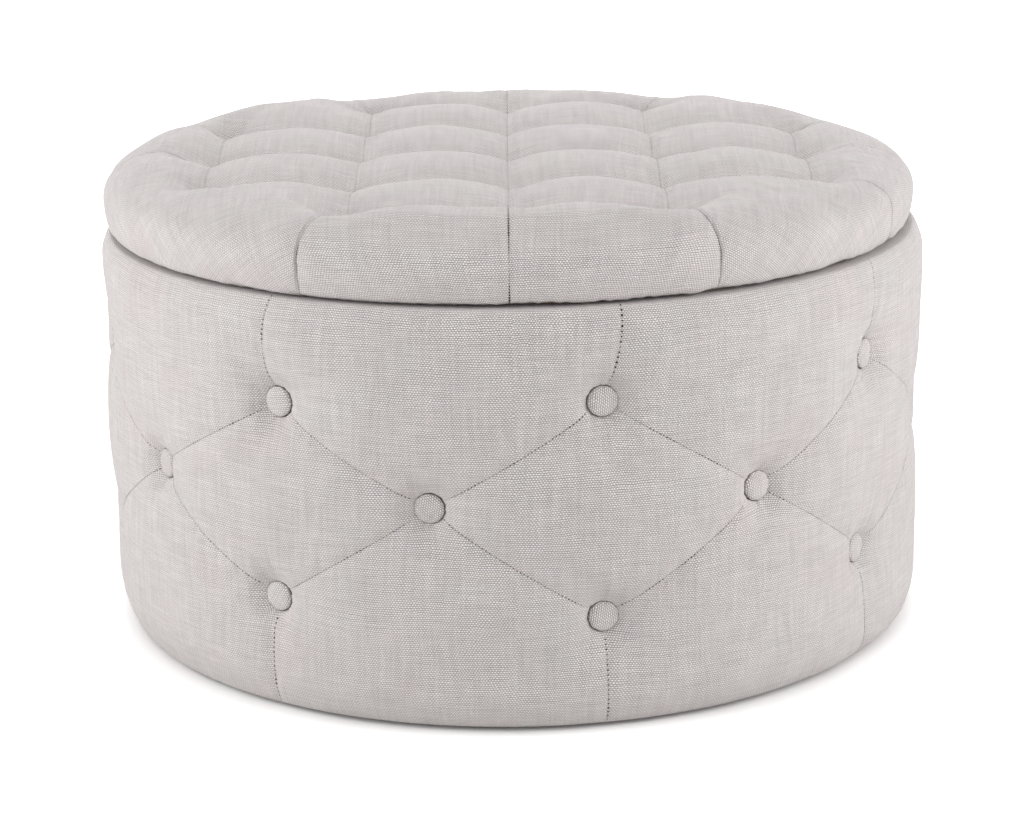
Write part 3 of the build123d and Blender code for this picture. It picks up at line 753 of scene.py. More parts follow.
def make_button_row(row_name):
    """Eight covered buttons: an outline turned round each button's own axis, with small folds in its cloth.

    Each is tilted a little, so that it stands proudest on one side.
    """
    fold_depth, fold_width = 0.12 * MM, 1.5 * MM
    tilt_share, tilt_spread = 0.05, 0.015
    tilt_height = 4 * MM
    columns = 72
    low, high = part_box(row_name)
    radius = (high.z - low.z) / 2
    outline = button_outline(radius)
    height = outline[:, 1:]
    spin = all_round(columns)
    ring = np.arange(columns)
    after = (ring + 1) % columns
    size = len(outline) * columns
    last = size - columns
    row_faces = [ring_faces(len(outline), columns), fan_faces(size, after, ring)]
    row_faces = np.concatenate([*row_faces, fan_faces(size + 1, last + ring, last + after)])
    pieces, faces, cloths = [], [], []
    random = np.random.default_rng(len(row_name))
    for (name, number), (theta, level) in button_places().items():
        if name != row_name:
            continue
        folds = np.sin(spin * 14 + random.uniform(0, FULL_TURN))
        folds += np.sin(spin * 9 + random.uniform(0, FULL_TURN))
        drawn = outline[:, :1] - fold_depth * folds * fall_off(outline[:, :1] - radius, fold_width)
        lean = button_leans()[name, number]
        tilt = tilt_share * np.array([np.cos(lean), np.sin(lean)]) + random.normal(0, tilt_spread, 2)
        across, up = drawn * np.cos(spin), drawn * np.sin(spin)
        out = SEAT_DISTANCE + height + (across * tilt[0] + up * tilt[1]) * (height / tilt_height)
        centre = np.array([np.sin(theta), -np.cos(theta), 0])
        sideways = np.array([np.cos(theta), np.sin(theta), 0])
        points = centre * out[..., None] + sideways * across[..., None]
        points[..., 2] += level + up
        tops = [centre * (SEAT_DISTANCE + outline[end, 1]) + [0, 0, level] for end in (0, -1)]
        turn = np.radians(BUTTON_TURNS.get((name, number), random.uniform(0, 180)))
        flat_x = across * np.cos(turn) + up * np.sin(turn)
        flat_y = up * np.cos(turn) - across * np.sin(turn)
        flat = np.concatenate([np.stack([flat_x, flat_y], -1).reshape(-1, 2), np.zeros((2, 2))])
        cloths.append(flat[np.maximum(row_faces, 0)] + random.uniform(0, 1, 2))
        faces.append(np.where(row_faces < 0, -1, row_faces + len(pieces) * (size + 2)))
        pieces.append(np.concatenate([points.reshape(-1, 3), tops]))
    made_name = row_name.replace("row_buttons", "row_covered_buttons")
    return add_mesh(made_name, *map(np.concatenate, (pieces, faces, cloths)), [linen()])


# Lid

def lid_outline():
    """Outline of the lid's cover and cushion in radius and level, from the middle over the rim and back."""
    s = sizes()
    edge, crown, join = 23 * MM, 108 * MM, 59.0
    middle = 3 * MM
    hem_width = 32 * MM
    turn_under = 14 * MM
    edge_lift = 3.4 * MM
    radius, low = lid_high.x, lid_low.z
    board_radius, board_bottom, board_top = lid_board_high.x, lid_board_low.z, lid_board_high.z
    join_radius = radius - edge * (1 - np.cos(np.radians(join)))
    wall_end = CREST - edge * np.sin(np.radians(join)) - crown * (1 - np.sin(np.radians(join)))
    crest_radius = join_radius - crown * np.cos(np.radians(join))
    lift = low + edge_lift
    foot = radius - s.lid_round
    return joined(
        line((middle, CREST), (crest_radius, CREST), 132),
        corner((crest_radius, CREST - crown), crown, crown, 90, join, 32),
        corner((radius - edge, wall_end), edge, edge, join, 0, 9),
        corner((foot, wall_end), s.lid_round, wall_end - lift, 0, -90, 18),
        line((foot, lift), (foot - turn_under, low), 6),
        line((foot - turn_under, low), (board_radius - hem_width, low), 10),
        line((board_radius - hem_width, board_bottom), (board_radius, board_bottom), 4),
        line((board_radius, board_bottom), (board_radius, board_top), 3),
        line((board_radius, board_top), (middle, board_top), 8),
    )


def lid_seams():
    """Straight seams of the lid seen from above, each with its ends and its kind: valley, rim or side."""
    radius = lid_high.x
    found = []
    for column, reach in TUFT_REACHES.items():
        for way in ((1, -1) if column else (1,)):
            x = way * column * TUFT_PITCH
            end = reach * TUFT_PITCH
            found.append(((x, -end), (x, end), "valley", LENGTHWISE_SHARE))
            found.append(((-end, x), (end, x), "valley", 1.0))
    start_out = max(TUFT_REACHES) * TUFT_PITCH
    stretch = 1.25
    for turn in range(4):
        cosine, sine = round(np.cos(turn * np.pi / 2)), round(np.sin(turn * np.pi / 2))
        kind, angle = ("side", SIDE_SEAM_ANGLE) if turn % 2 == 0 else ("rim", RIM_SEAM_ANGLE)
        rim_out, rim_across = radius * np.cos(angle), radius * np.sin(angle)
        fan = (start_out + (rim_out - start_out) * stretch, TUFT_PITCH + (rim_across - TUFT_PITCH) * stretch)
        straight = (radius * stretch, 0)
        for way in (-1, 0, 1):
            share = RIM_SEAM_SHARES.get((turn, way), 1.0)
            if share == 0:
                continue
            ends = ((start_out, way * TUFT_PITCH), (fan[0], way * fan[1]) if way else straight)
            placed = [(out * cosine - across * sine, out * sine + across * cosine) for out, across in ends]
            found.append((*placed, kind, share))
    return found


def tuft_places():
    """Middle of every blind tuft."""
    return [
        (column * way * TUFT_PITCH, row * TUFT_PITCH)
        for column, reach in TUFT_REACHES.items()
        for way in ((1, -1) if column else (1,))
        for row in range(-reach, reach + 1)
    ]


def lid_drawn_in(x, y):
    """How far seams and tufts draw the lid's cover in, and the distance to the nearest seam.

    Each seam draws a valley whose section is part parabola and part squarish ellipse, so that the pillows
    stay plump near it. The tufts add a pit that falls off with the distance to the nearest one, faster
    towards the rim. The rim's seams are sharper, shallower creases.
    """
    rim_crease, seam_crease = 15 * MM, 3 * MM
    line_depth = 0.8 * MM
    least_out = 1 * MM
    s = sizes()
    open_share = np.ones_like(x)
    crease = np.zeros_like(x)
    line_share = np.zeros_like(x)
    nearest = np.full_like(x, FAR_AWAY)
    for start, end, kind, depth in lid_seams():
        away = segment_distance(x, y, start, end)
        if kind == "valley":
            close = 1 - np.clip(away / (TUFT_PITCH / 2), 0, 1)
            hollow = close ** 2 if depth < 1 else 0.25 * close ** 2 + 0.75 * (1 - np.sqrt(1 - close ** 2))
            open_share *= 1 - depth * hollow
        else:
            crease = np.maximum(crease, depth * fall_off(away, rim_crease, 1.3))
        line_share = np.maximum(line_share, depth * fall_off(away, seam_crease, 1.6))
        nearest = np.minimum(nearest, away)
    tuft = np.full_like(x, FAR_AWAY)
    for across, along in tuft_places():
        outward = ((x - across) * across + (y - along) * along) / max(np.hypot(across, along), least_out)
        rim_tuft = np.hypot(across, along) > 2 * TUFT_PITCH
        away = np.hypot(x - across, y - along) + (0.8 * np.maximum(outward, 0) if rim_tuft else 0)
        tuft = np.minimum(tuft, away)
    inset = np.maximum(s.valley_depth * (1 - open_share), s.rim_seam_depth * crease)
    inset += (s.tuft_depth - s.valley_depth) * fall_off(tuft, s.tuft_reach, 1.3)
    return inset + line_depth * line_share, nearest


def lid_inset(x, y):
    """How far the lid's cover lies below its full rolled form, at places seen from above.

    On top of what seams and tufts draw in, the whole lid is a little domed and a little higher in front. Its
    front rim and its left rear corner are the fullest, as in the photograph, and small puckers run beside
    the seams.
    """
    corner_radius, corner_width = 345 * MM, 50 * MM
    corner_fullness, rear_fullness = 1.0 * MM, 4.0 * MM
    rear_angle, rear_width = np.radians(118), np.radians(30)
    left_angle, left_width = np.radians(104), np.radians(20)
    left_radius, left_reach, left_fullness = 350 * MM, 40 * MM, 4.0 * MM
    dome_radius = 350 * MM
    front_slope = 0.008
    front_place, front_width = 337 * MM, 50 * MM
    fade_radius, fade_width = 355 * MM, 36 * MM
    pucker_depth, pucker_wave = 0.3 * MM, 11 * MM
    pucker_out, pucker_width = 5 * MM, 6 * MM
    wide_depth, wide_wave = 0.6 * MM, 75 * MM
    s = sizes()
    inset, nearest = lid_drawn_in(x, y)
    radius, theta = np.hypot(x, y), np.arctan2(x, -y)
    corner_share = fall_off(radius - corner_radius, corner_width) * np.abs(np.sin(2 * theta)) ** 1.5
    inset -= (corner_fullness + rear_fullness * fall_off(theta + rear_angle, rear_width)) * corner_share
    far_left = bell(theta + left_angle, left_width) * fall_off(radius - left_radius, left_reach)
    inset -= left_fullness * far_left
    top = np.clip(1 - (radius / dome_radius) ** 4, 0, 1)
    inset -= s.lid_dome * top - front_slope * y * top
    front = fall_off(y + front_place, front_width) * np.clip(1 - (radius - fade_radius) / fade_width, 0, 1)
    inset -= s.front_fullness * front
    inset += pucker_depth * unevenness(x, y, pucker_wave, 13) * fall_off(nearest - pucker_out, pucker_width)
    return inset + wide_depth * unevenness(x, y, wide_wave, 17) - settling("lid", x, y)


def lid_surface(theta, outline):
    """Points of the lid at given angles along its outline, each moved in along the outline's normal.

    Along its lower edge the cloth is tucked in and out in wide and in fine waves, with some small bites.
    """
    level_slack = MM / 10
    wall_height = 30 * MM
    # Depth, wave length, height and seed of the wide and of the fine waves
    waves = ((0.6 * MM, 38 * MM, 9 * MM, 23), (0.55 * MM, 10 * MM, 4 * MM, 24))
    bite_depth, bite_wave, bite_height = 1.6 * MM, 13 * MM, 5 * MM
    normal = outline_normal(outline)
    radius, level = outline[:, :1], outline[:, 1:]
    above = level - lid_low.z
    x, y = radius * np.sin(theta), -radius * np.cos(theta)
    inside = np.cumsum(outline[:, 1] <= lid_low.z + level_slack)[:, None] > 0
    share = np.where(inside, 0, 0.3 + 0.7 * np.clip(above / wall_height, 0, 1))
    tuck = 0.0
    for depth, wave, reach, seed in waves:
        tuck = tuck + depth * unevenness(theta * radius, 0 * level, wave, seed) * fall_off(above, reach)
    bites = np.clip(unevenness(theta * radius, 0 * level, bite_wave, 25) - 0.9, 0, 1.2)
    tuck -= bite_depth * bites * fall_off(above, bite_height)
    inset = lid_inset(x, y) * share + np.where(inside, 0, tuck)
    points = to_space(theta, radius - normal[:, :1] * inset, level - normal[:, 1:] * inset)
    points[..., 0] += sizes().lid_shift
    return points


def lid_shown(outline):
    """How many of the outline's points lie above the lid's lower edge."""
    edge_height = 3.5 * MM
    return int(np.argmax(outline[:, 1] < lid_low.z + edge_height))


def make_lid_cover():
    """Tufted cover and cushion of the lid: the outline turned round the axis, less what is drawn in."""
    panel_start, panel_fade = 250 * MM, 90 * MM
    bend_depth, bend_wave = 1.2 * MM, 95 * MM
    columns = 960
    outline = lid_outline()
    theta = all_round(columns)
    points = lid_surface(theta, outline)
    shown = points[:lid_shown(outline)]
    shown_grids["lid"] = (shown, grid_normals(shown))
    run = (outline_run(outline) + outline[0, 0])[:, None]
    poles = (points[0].mean(0), points[-1].mean(0))
    made = turned_surface("lid_upholstery", points, 0 * run * theta, 0 * run * np.arange(columns + 1),
                          [linen()], poles=poles)
    # Between two rim seams at the front and rear the cloth is cut to follow the rim, elsewhere it lies flat
    from_axis = (theta + np.pi / 2) % np.pi - np.pi / 2
    level_panel = (np.abs(from_axis) < RIM_SEAM_ANGLE) * np.clip((run - panel_start) / panel_fade, 0, 1)
    bow = (1 - np.cos(from_axis)) * level_panel
    flat = np.stack([run * np.sin(theta), -run * (np.cos(theta) + bow * np.sign(np.cos(theta)))], -1)
    flat = np.concatenate([flat.reshape(-1, 2), np.zeros((2, 2))])
    bends = [unevenness(flat[:, 0], flat[:, 1], bend_wave, seed) for seed in (43, 44)]
    lay_flat(made, flat + bend_depth * np.stack(bends, 1))
    return made


# Stitches

def stitch_row(path, normals, pitch):
    """Middle, half length along the path and outward direction of each stitch on a path of points."""
    run = outline_run(path)
    count = int(run[-1] / pitch)
    middle = (np.arange(count) + 0.5) * run[-1] / count
    before, at, after = (np.stack([np.interp(middle + shift, run, path[:, axis]) for axis in range(3)], 1)
                         for shift in (-pitch / 2, 0, pitch / 2))
    outward = np.stack([np.interp(middle, run, normals[:, axis]) for axis in range(3)], 1)
    return at, (after - before) / 2, outward


def stitch_capsules(middle, thread, along, side, outward):
    """Thread of every stitch: a ring of six points carried along five stations from one end to the other.

    The ring's radius is a half ellipse of the station, and its middle lies lower towards both ends.
    """
    stations, ring = np.linspace(-1, 1, 5), all_round(6)
    radius = sizes().thread_radius
    width = radius * np.sqrt(np.clip(1.02 - stations ** 2, 0, 1))
    arch = radius * (0.1 - 0.6 * stations ** 2)
    shift = stations[None, :, None, None] * thread[:, None, None] * along[:, None, None]
    rise = (arch[:, None] + width[:, None] * np.sin(ring))[None, ..., None] * outward[:, None, None]
    spread = (width[:, None] * np.cos(ring))[None, ..., None] * side[:, None, None]
    # Both ends are closed by two faces each
    ends = np.array([[3, 2, 1, 0], [5, 4, 3, 0], [24, 25, 26, 27], [24, 27, 28, 29]])
    faces = np.concatenate([ring_faces(stations.size, ring.size), ends])
    first = np.arange(len(middle))[:, None, None] * stations.size * ring.size
    points = middle[:, None, None] + shift + rise + spread
    return points.reshape(-1, 3), (faces[None] + first).reshape(-1, 4)


def painted_hole_ovals(middle, end, along, side, outward, hole, lift):
    """Painted shade of the hole at the end of every stitch: a flat dark oval of eight points round a middle
    point a little higher.

    Long soft waves over the whole seam make the painted shade bolder in some places and fainter in others.
    """
    bold_wave = 55 * MM
    crown = 0.08 * MM
    count, corners = len(middle), 8
    random = np.random.default_rng(6)
    bold = unevenness(middle[:, 0] + middle[:, 2], middle[:, 1] - middle[:, 2], bold_wave, 51)
    bold = np.clip(0.95 + 0.3 * bold, 0.4, 1.5)[:, None, None]
    length = hole[0] / 2 * random.uniform(0.7, 1.15, (count, 1, 1)) * np.minimum(bold, 1.15)
    breadth = hole[1] / 2 * random.uniform(0.75, 1.2, (count, 1, 1)) * bold
    turn = all_round(corners)[0][:, None]
    centre = (end + outward * lift)[:, None]
    ovals = centre + along[:, None] * np.cos(turn) * length + side[:, None] * np.sin(turn) * breadth
    corner_index = np.arange(corners)
    faces = fan_faces(corners, corner_index, (corner_index + 1) % corners)
    first = np.arange(count)[:, None, None] * (corners + 1)
    faces = np.where(faces[None] < 0, -1, faces[None] + first).reshape(-1, 4)
    return np.concatenate([ovals, centre + outward[:, None] * crown], 1).reshape(-1, 3), faces


def make_stitches(name, rows, hole, lift):
    """For each stitch an arched capsule of thread, and a dark oval of painted shade at the hole where the
    needle drew the cloth in.
    """
    middle, half, outward = (np.concatenate(parts) for parts in zip(*rows))
    pitch = np.linalg.norm(half, axis=1)[:, None] * 2
    along = half / pitch * 2
    side = np.cross(along, outward)
    side /= np.linalg.norm(side, axis=1)[:, None]
    thread = (pitch - hole[0]) / 2 + sizes().thread_radius
    capsules, capsule_faces = stitch_capsules(middle, thread, along, side, outward)
    holes, hole_faces = painted_hole_ovals(middle, middle + half, along, side, outward, hole, lift)
    hole_faces = np.where(hole_faces < 0, -1, hole_faces + len(capsules))
    kind = np.r_[np.zeros(len(capsule_faces)), np.ones(len(hole_faces))]
    vertices, faces = np.concatenate([capsules, holes]), np.concatenate([capsule_faces, hole_faces])
    return add_mesh(name, vertices, faces, None, [sewing_thread(), painted_hole_shade()], kind)


def make_side_stitches():
    """Stitches along the diamond seams, finer than those along the upright ones."""
    s = sizes()
    button_gap, foot_gap = 16.5 * MM, 5 * MM
    lift = 0.22 * MM
    # Pitch of the stitches, and length and breadth of the painted shade ovals at their holes
    plans = {
        "diamond_stitches": (s.stitch_pitch, (1.9 * MM, 0.95 * MM)),
        "upright_stitches": (s.upright_pitch, (1.7 * MM, 1.7 * MM)),
    }
    share = np.linspace(0, 1, 200)
    made = []
    for (name, (pitch, hole)), runs in zip(plans.items(), seam_runs()):
        rows = []
        for angles, levels in runs:
            stations = np.linspace(0, 1, len(angles))
            theta, level = np.interp(share, stations, angles), np.interp(share, stations, levels)
            keep = (button_distance(theta, level) > button_gap) & (level > side_low.z + foot_gap)
            path, normals = on_grid("side", side_rows(level[keep]), theta[keep])
            rows.append(stitch_row(path, normals, pitch))
        made.append(make_stitches(name, rows, hole, lift))
    return made


def make_lid_stitches():
    """Stitches along the seams of the lid, over the rim as far as its lower edge."""
    fine_pitch = 2.6 * MM
    edge_gap = 0.05 * MM
    # Length and breadth of the painted shade ovals at the holes of each kind of seam, and how far they stand
    # off the cloth
    plans = {
        "valley": ((1.6 * MM, 0.24 * MM), 0.4 * MM),
        "rim": ((2.0 * MM, 0.65 * MM), 0.5 * MM),
        "middle": ((2.1 * MM, 1.2 * MM), 0.5 * MM),
        "side": ((2.0 * MM, 1.3 * MM), 0.5 * MM),
    }
    outline = lid_outline()
    outline = outline[:lid_shown(outline)]
    widest = int(np.argmax(outline[:, 0]))
    rows = {kind: [] for kind in plans}
    for start, end, kind, _ in lid_seams():
        share = np.linspace(0, 1, 400)
        x, y = (start[axis] + (end[axis] - start[axis]) * share for axis in (0, 1))
        radius, theta = np.hypot(x, y), np.unwrap(np.arctan2(x, -y))
        inside = radius < lid_high.x - edge_gap
        row = np.interp(radius[inside], outline[:widest + 1, 0], np.arange(widest + 1))
        theta = theta[inside]
        if kind != "valley":
            wall = np.arange(widest, len(outline) - 1)
            row, theta = np.r_[row, wall], np.r_[theta, np.full(len(wall), theta[-1])]
        path, normals = on_grid("lid", row, theta)
        kind = "middle" if kind == "rim" and start[0] == end[0] and end[1] < 0 else kind
        pitch = sizes().stitch_pitch if kind == "side" else fine_pitch
        rows[kind].append(stitch_row(path, normals, pitch))
    return [make_stitches(f"lid_{kind}_stitches", rows[kind], *plan) for kind, plan in plans.items()]


# Linings and dust cover

def make_sheet_disc(name, radius, level, waviness, seed, material, rise):
    """Flat round sheet: rings of points whose level wavers a little, more towards the edge."""
    hole, wave_length = 2 * MM, 90 * MM
    columns = 240
    rings = np.linspace(hole, radius, 60)[:, None]
    theta = all_round(columns)
    across, along = rings * np.sin(theta), rings * np.cos(theta)
    wave = unevenness(across, along, wave_length, seed) * waviness * (rings / radius)
    points = to_space(theta, rings, level + rise * np.abs(wave))
    turn = np.linspace(0, FULL_TURN, columns + 1)
    made = turned_surface(name, points, -rings * np.cos(turn[:-1]), rings * np.sin(turn), [material],
                          poles=(points[0].mean(0),))
    lay_flat(made, np.concatenate([np.stack([across, -along], -1).reshape(-1, 2), np.zeros((1, 2))]))
    return made


def make_side_lining():
    """Lining glued inside the liner board: an upright sheet that wavers a little off the board."""
    glue_gap, waviness, wave_length = 0.2 * MM, 0.5 * MM, 80 * MM
    rows, columns = 60, 360
    theta = all_round(columns)
    level = np.linspace(liner_low.z, liner_high.z, rows)[:, None]
    wave = np.abs(unevenness(theta * liner_high.x, level, wave_length, 31))
    points = to_space(theta, liner_high.x - glue_gap - waviness * wave, level)
    around = np.broadcast_to(np.linspace(0, FULL_TURN, columns + 1) * liner_high.x, (rows, columns + 1))
    down = level * np.ones((1, columns))
    return turned_surface("side_lining_cloth", points, down, around, [lining_cloth()])


# Materials

# Heights of the relief that the surfaces' bumps are drawn with
YARN_RELIEF = 0.5 * MM
GRAIN_RELIEF = 0.3 * MM
FELT_RELIEF = 0.2 * MM
FINE_RELIEF = 0.1 * MM
# How far the threads of the linen wander over about 20 mm, and over about 6 mm, as the yarn is uneven
WANDER = 2.4 * MM
JITTER = 1.7 * MM
PLAIN_WHITE = (1.0, 1.0, 1.0, 1.0)


def connect(tree, made, inputs):
    """Set or link inputs of a node, given by name or number, or as a list from the first one on."""
    for key, value in inputs.items() if isinstance(inputs, dict) else enumerate(inputs):
        if isinstance(value, bpy.types.NodeSocket):
            tree.links.new(value, made.inputs[key])
        else:
            made.inputs[key].default_value = value


def node(tree, kind, inputs=(), output=0, **settings):
    """Add a node with its settings and links, and give back the output that is wanted."""
    made = tree.nodes.new("ShaderNode" + kind)
    for name, value in settings.items():
        setattr(made, name, value)
    connect(tree, made, inputs)
    return made.outputs[output] if made.outputs else made


def material(name, link_up):
    """A new material. Its main shader's inputs come from link_up, which is given the node tree."""
    made = bpy.data.materials.new(name)
    made.use_nodes = True
    connect(made.node_tree, made.node_tree.nodes["Principled BSDF"], link_up(made.node_tree))
    return made


def shared_material(name, link_up):
    """The same for a material that several pieces share, made when it is first asked for."""
    return bpy.data.materials.get(name) or material(name, link_up)


def shade(base, share=1.0):
    """A colour made darker or lighter by a share."""
    return (*[share * value for value in base[:3]], 1.0)


def patterned(tree, pattern, first, second, strength=0.0, relief=0.0):
    """Colour that runs from one tone to another with a pattern, and its bumps if they have strength."""
    inputs = {"Base Color": node(tree, "Mix", {0: pattern, 6: first, 7: second}, 2, data_type="RGBA")}
    if strength:
        inputs["Normal"] = node(tree, "Bump", {"Height": pattern, "Strength": strength, "Distance": relief})
    return inputs


def wandering_threads(tree, cloth):
    """Places on the cloth, moved as its threads wander."""
    moved = cloth
    for scale, reach in ((50.0, WANDER), (170.0, JITTER)):
        drift = node(tree, "TexNoise", {"Vector": cloth, "Scale": scale, "Detail": 2.0}, "Color")
        drift = node(tree, "VectorMath", [drift, (0.5, 0.5, 0.5)], operation="SUBTRACT")
        drift = node(tree, "VectorMath", {0: drift, "Scale": reach}, operation="SCALE")
        moved = node(tree, "VectorMath", [moved, drift], operation="ADD")
    return moved


def weave_of(tree, place, spacings):
    """Threads of a plain weave: the product of a wave along each direction of the cloth, and both waves."""
    waves = []
    for axis, spacing in enumerate(spacings):
        along = node(tree, "SeparateXYZ", [place], axis)
        turns = node(tree, "Math", [along, np.pi / spacing], operation="MULTIPLY")
        waves.append(node(tree, "Math", [turns], operation="SINE"))
    return node(tree, "Math", waves, operation="MULTIPLY"), waves


def thread_slubs(tree, moved):
    """Tone of the upright and of the level threads, each of which differs along its own length."""
    slubs = []
    for scale, shift in (((400.0, 14.0, 1.0), 3.0), ((22.0, 420.0, 1.0), 7.0)):
        drawn = node(tree, "Mapping", {"Vector": moved, "Scale": scale, "Location": (shift, shift, 0.0)})
        slubs.append(node(tree, "TexNoise", {"Vector": drawn, "Scale": 1.0, "Detail": 1.0}))
    return slubs


def yarn_tone(tree, cloth, moved, slubs):
    """Share by which the yarn's colour is dimmed: slubs, broad patches, streaks and the fibres' grain."""
    slub = node(tree, "Math", [slubs[1], 1.3, slubs[0]], operation="MULTIPLY_ADD")
    slub = node(tree, "Math", [slub, 0.22, 0.75], operation="MULTIPLY_ADD")
    broad = node(tree, "TexNoise", {"Vector": cloth, "Scale": 26.0, "Detail": 3.0})
    patch = node(tree, "Math", [broad, 0.14, 0.93], operation="MULTIPLY_ADD")
    patch = node(tree, "Math", [patch, 0.08], operation="SUBTRACT")
    drawn = node(tree, "Mapping", {"Vector": moved, "Scale": (150.0, 30.0, 1.0)})
    streaks = node(tree, "TexNoise", {"Vector": drawn, "Scale": 1.0, "Detail": 2.0})
    patch = node(tree, "Math", [streaks, 0.16, patch], operation="MULTIPLY_ADD")
    fibres = node(tree, "TexNoise", {"Vector": cloth, "Scale": 1100.0, "Detail": 2.0})
    grain = node(tree, "Math", [fibres, 0.34, 0.83], operation="MULTIPLY_ADD")
    tone = node(tree, "Math", [slub, patch], operation="MULTIPLY")
    return node(tree, "Math", [tone, grain], operation="MULTIPLY")


def blush(tree, cloth):
    """Faint greenish and pinkish blotches, as on undyed cloth."""
    shifted = node(tree, "Mapping", {"Vector": cloth, "Location": (5.0, 2.0, 0.0)})
    blotches = node(tree, "TexNoise", {"Vector": shifted, "Scale": 16.0, "Detail": 2.0})
    blotches = node(tree, "MapRange", {"Value": blotches, "From Min": 0.3, "From Max": 0.7})
    tints = {0: blotches, 6: (0.985, 1.0, 0.985, 1.0), 7: (1.0, 0.972, 0.985, 1.0)}
    return node(tree, "Mix", tints, 2, data_type="RGBA")


def painted_sheen_share(tree):
    """Painted sheen of the yarn's fuzz: share of its mean tone painted over the weave's colour, most where
    the cloth turns away from the view.
    """
    facing = node(tree, "LayerWeight", {"Blend": 0.5}, "Facing")
    towards = node(tree, "Math", [1.0, facing], operation="SUBTRACT")
    towards = node(tree, "Math", [towards, 4.0], operation="POWER")
    away = node(tree, "Math", [1.0, towards], operation="SUBTRACT")
    return node(tree, "Math", [away, 0.65], operation="MULTIPLY")


def linen():
    """Coarse plain weave of linen-look yarn: staggered crowns in a lit tone, sunk yarn and gaps between
    threads in painted shade, slubs and faint blotches.
    """
    def links(tree):
        s, c = sizes(), colours()
        cloth = node(tree, "UVMap", uv_map="cloth")
        moved = wandering_threads(tree, cloth)
        weave, waves = weave_of(tree, moved, (s.warp_spacing, s.weft_spacing))
        # One on the crowns that pass over, zero on the yarn that passes under
        crowns = {"Value": weave, "From Min": -0.25, "From Max": 0.45}
        over = node(tree, "MapRange", crowns, interpolation_type="SMOOTHSTEP")
        level = node(tree, "Math", [waves[1]], operation="ABSOLUTE")
        gap_shade_range = {"Value": level, "From Min": 0.1, "From Max": 0.62, "To Min": 1.0, "To Max": 0.0}
        gap_shade = node(tree, "Math", [node(tree, "MapRange", gap_shade_range), 0.95], operation="MULTIPLY")
        painted_sheen = painted_sheen_share(tree)
        # Painted light and shade of the weave: the sunk yarn takes a painted shade, the crowns a lit tone
        # over it, the gaps a deeper painted shade, and the painted sheen covers all at a grazing angle
        yarn = shade(c.sunk_yarn_painted_shade)
        for factor, colour_over in ((over, c.linen), (gap_shade, c.gap_painted_shade), (painted_sheen, c.painted_sheen_tone)):
            yarn = node(tree, "Mix", {0: factor, 6: yarn, 7: shade(colour_over)}, 2, data_type="RGBA")
        slubs = thread_slubs(tree, moved)
        tone = yarn_tone(tree, cloth, moved, slubs)
        for dimmed_by in (node(tree, "CombineColor", [tone] * 3), blush(tree, cloth)):
            both = {0: 1.0, 6: yarn, 7: dimmed_by}
            yarn = node(tree, "Mix", both, 2, data_type="RGBA", blend_type="MULTIPLY")
        round_yarn = node(tree, "Math", [weave], operation="ABSOLUTE")
        round_yarn = node(tree, "Math", [round_yarn, 0.5], operation="POWER")
        height = node(tree, "Math", [over, 0.5, round_yarn], operation="MULTIPLY_ADD")
        height = node(tree, "Math", [slubs[0], 0.4, height], operation="MULTIPLY_ADD")
        bare = node(tree, "Math", [1.0, painted_sheen], operation="SUBTRACT")
        bump = node(tree, "Bump", {"Height": height, "Strength": bare, "Distance": YARN_RELIEF})
        return {"Base Color": yarn, "Normal": bump, "Roughness": 0.92, "Sheen Weight": 0.1,
                "Sheen Roughness": 0.5, "Specular IOR Level": 0.25}
    return shared_material("coarse_linen_weave", links)


def sewing_thread():
    """Spun polyester sewing thread, a little darker than the cloth, with its fibres as fine uneven tones."""
    def links(tree):
        place = node(tree, "TexCoord", output="Object")
        fibres = node(tree, "TexNoise", {"Vector": place, "Scale": 900.0, "Detail": 1.0})
        base = colours().thread
        inputs = patterned(tree, fibres, shade(base), shade(base, 0.8))
        return {**inputs, "Roughness": 0.7, "Sheen Weight": 0.1}
    return shared_material("spun_sewing_thread", links)


def painted_hole_shade():
    """Painted shade of the hole that the needle leaves between two stitches, turning to a painted sheen of
    the fuzz over its edge where it is seen at a grazing angle.
    """
    def links(tree):
        c = colours()
        place = node(tree, "TexCoord", output="Object")
        uneven = node(tree, "TexNoise", {"Vector": place, "Scale": 500.0})
        inputs = patterned(tree, uneven, shade(c.painted_hole_shade), shade(c.painted_hole_shade, 1.7))
        # Where the hole is seen at a grazing angle its painted shade turns to a painted sheen of the cloth's
        # mean tone
        facing = node(tree, "LayerWeight", {"Blend": 0.5}, "Facing")
        edge = {"Value": facing, "From Min": 0.2, "From Max": 0.6, "To Min": 0.0, "To Max": 0.75}
        sheen_veiled = {0: node(tree, "MapRange", edge), 6: inputs["Base Color"], 7: shade(c.painted_sheen_tone, 0.9)}
        inputs["Base Color"] = node(tree, "Mix", sheen_veiled, 2, data_type="RGBA")
        return {**inputs, "Roughness": 1.0, "Specular IOR Level": 0.0}
    return shared_material("needle_hole_shade", links)


def lining_cloth():
    """Thin plain polyester lining: dark, fine even weave, slight sheen."""
    def links(tree):
        base = colours().lining
        cloth = node(tree, "UVMap", uv_map="cloth")
        # The real threads lie 0.25 mm apart; they are drawn at 1 mm so that they show
        drawn_spacing = 1 * MM
        weave, _ = weave_of(tree, cloth, (drawn_spacing, drawn_spacing))
        weave = node(tree, "Math", [weave], operation="ABSOLUTE")
        inputs = patterned(tree, weave, shade(base, 0.6), shade(base), 0.3, FINE_RELIEF)
        worn = node(tree, "TexNoise", {"Vector": cloth, "Scale": 20.0})
        tones = {0: worn, 6: inputs["Base Color"], 7: shade(base)}
        inputs["Base Color"] = node(tree, "Mix", tones, 2, data_type="RGBA")
        return {**inputs, "Roughness": 0.75, "Sheen Weight": 0.3, "Sheen Roughness": 0.4}
    return shared_material("polyester_lining", links)


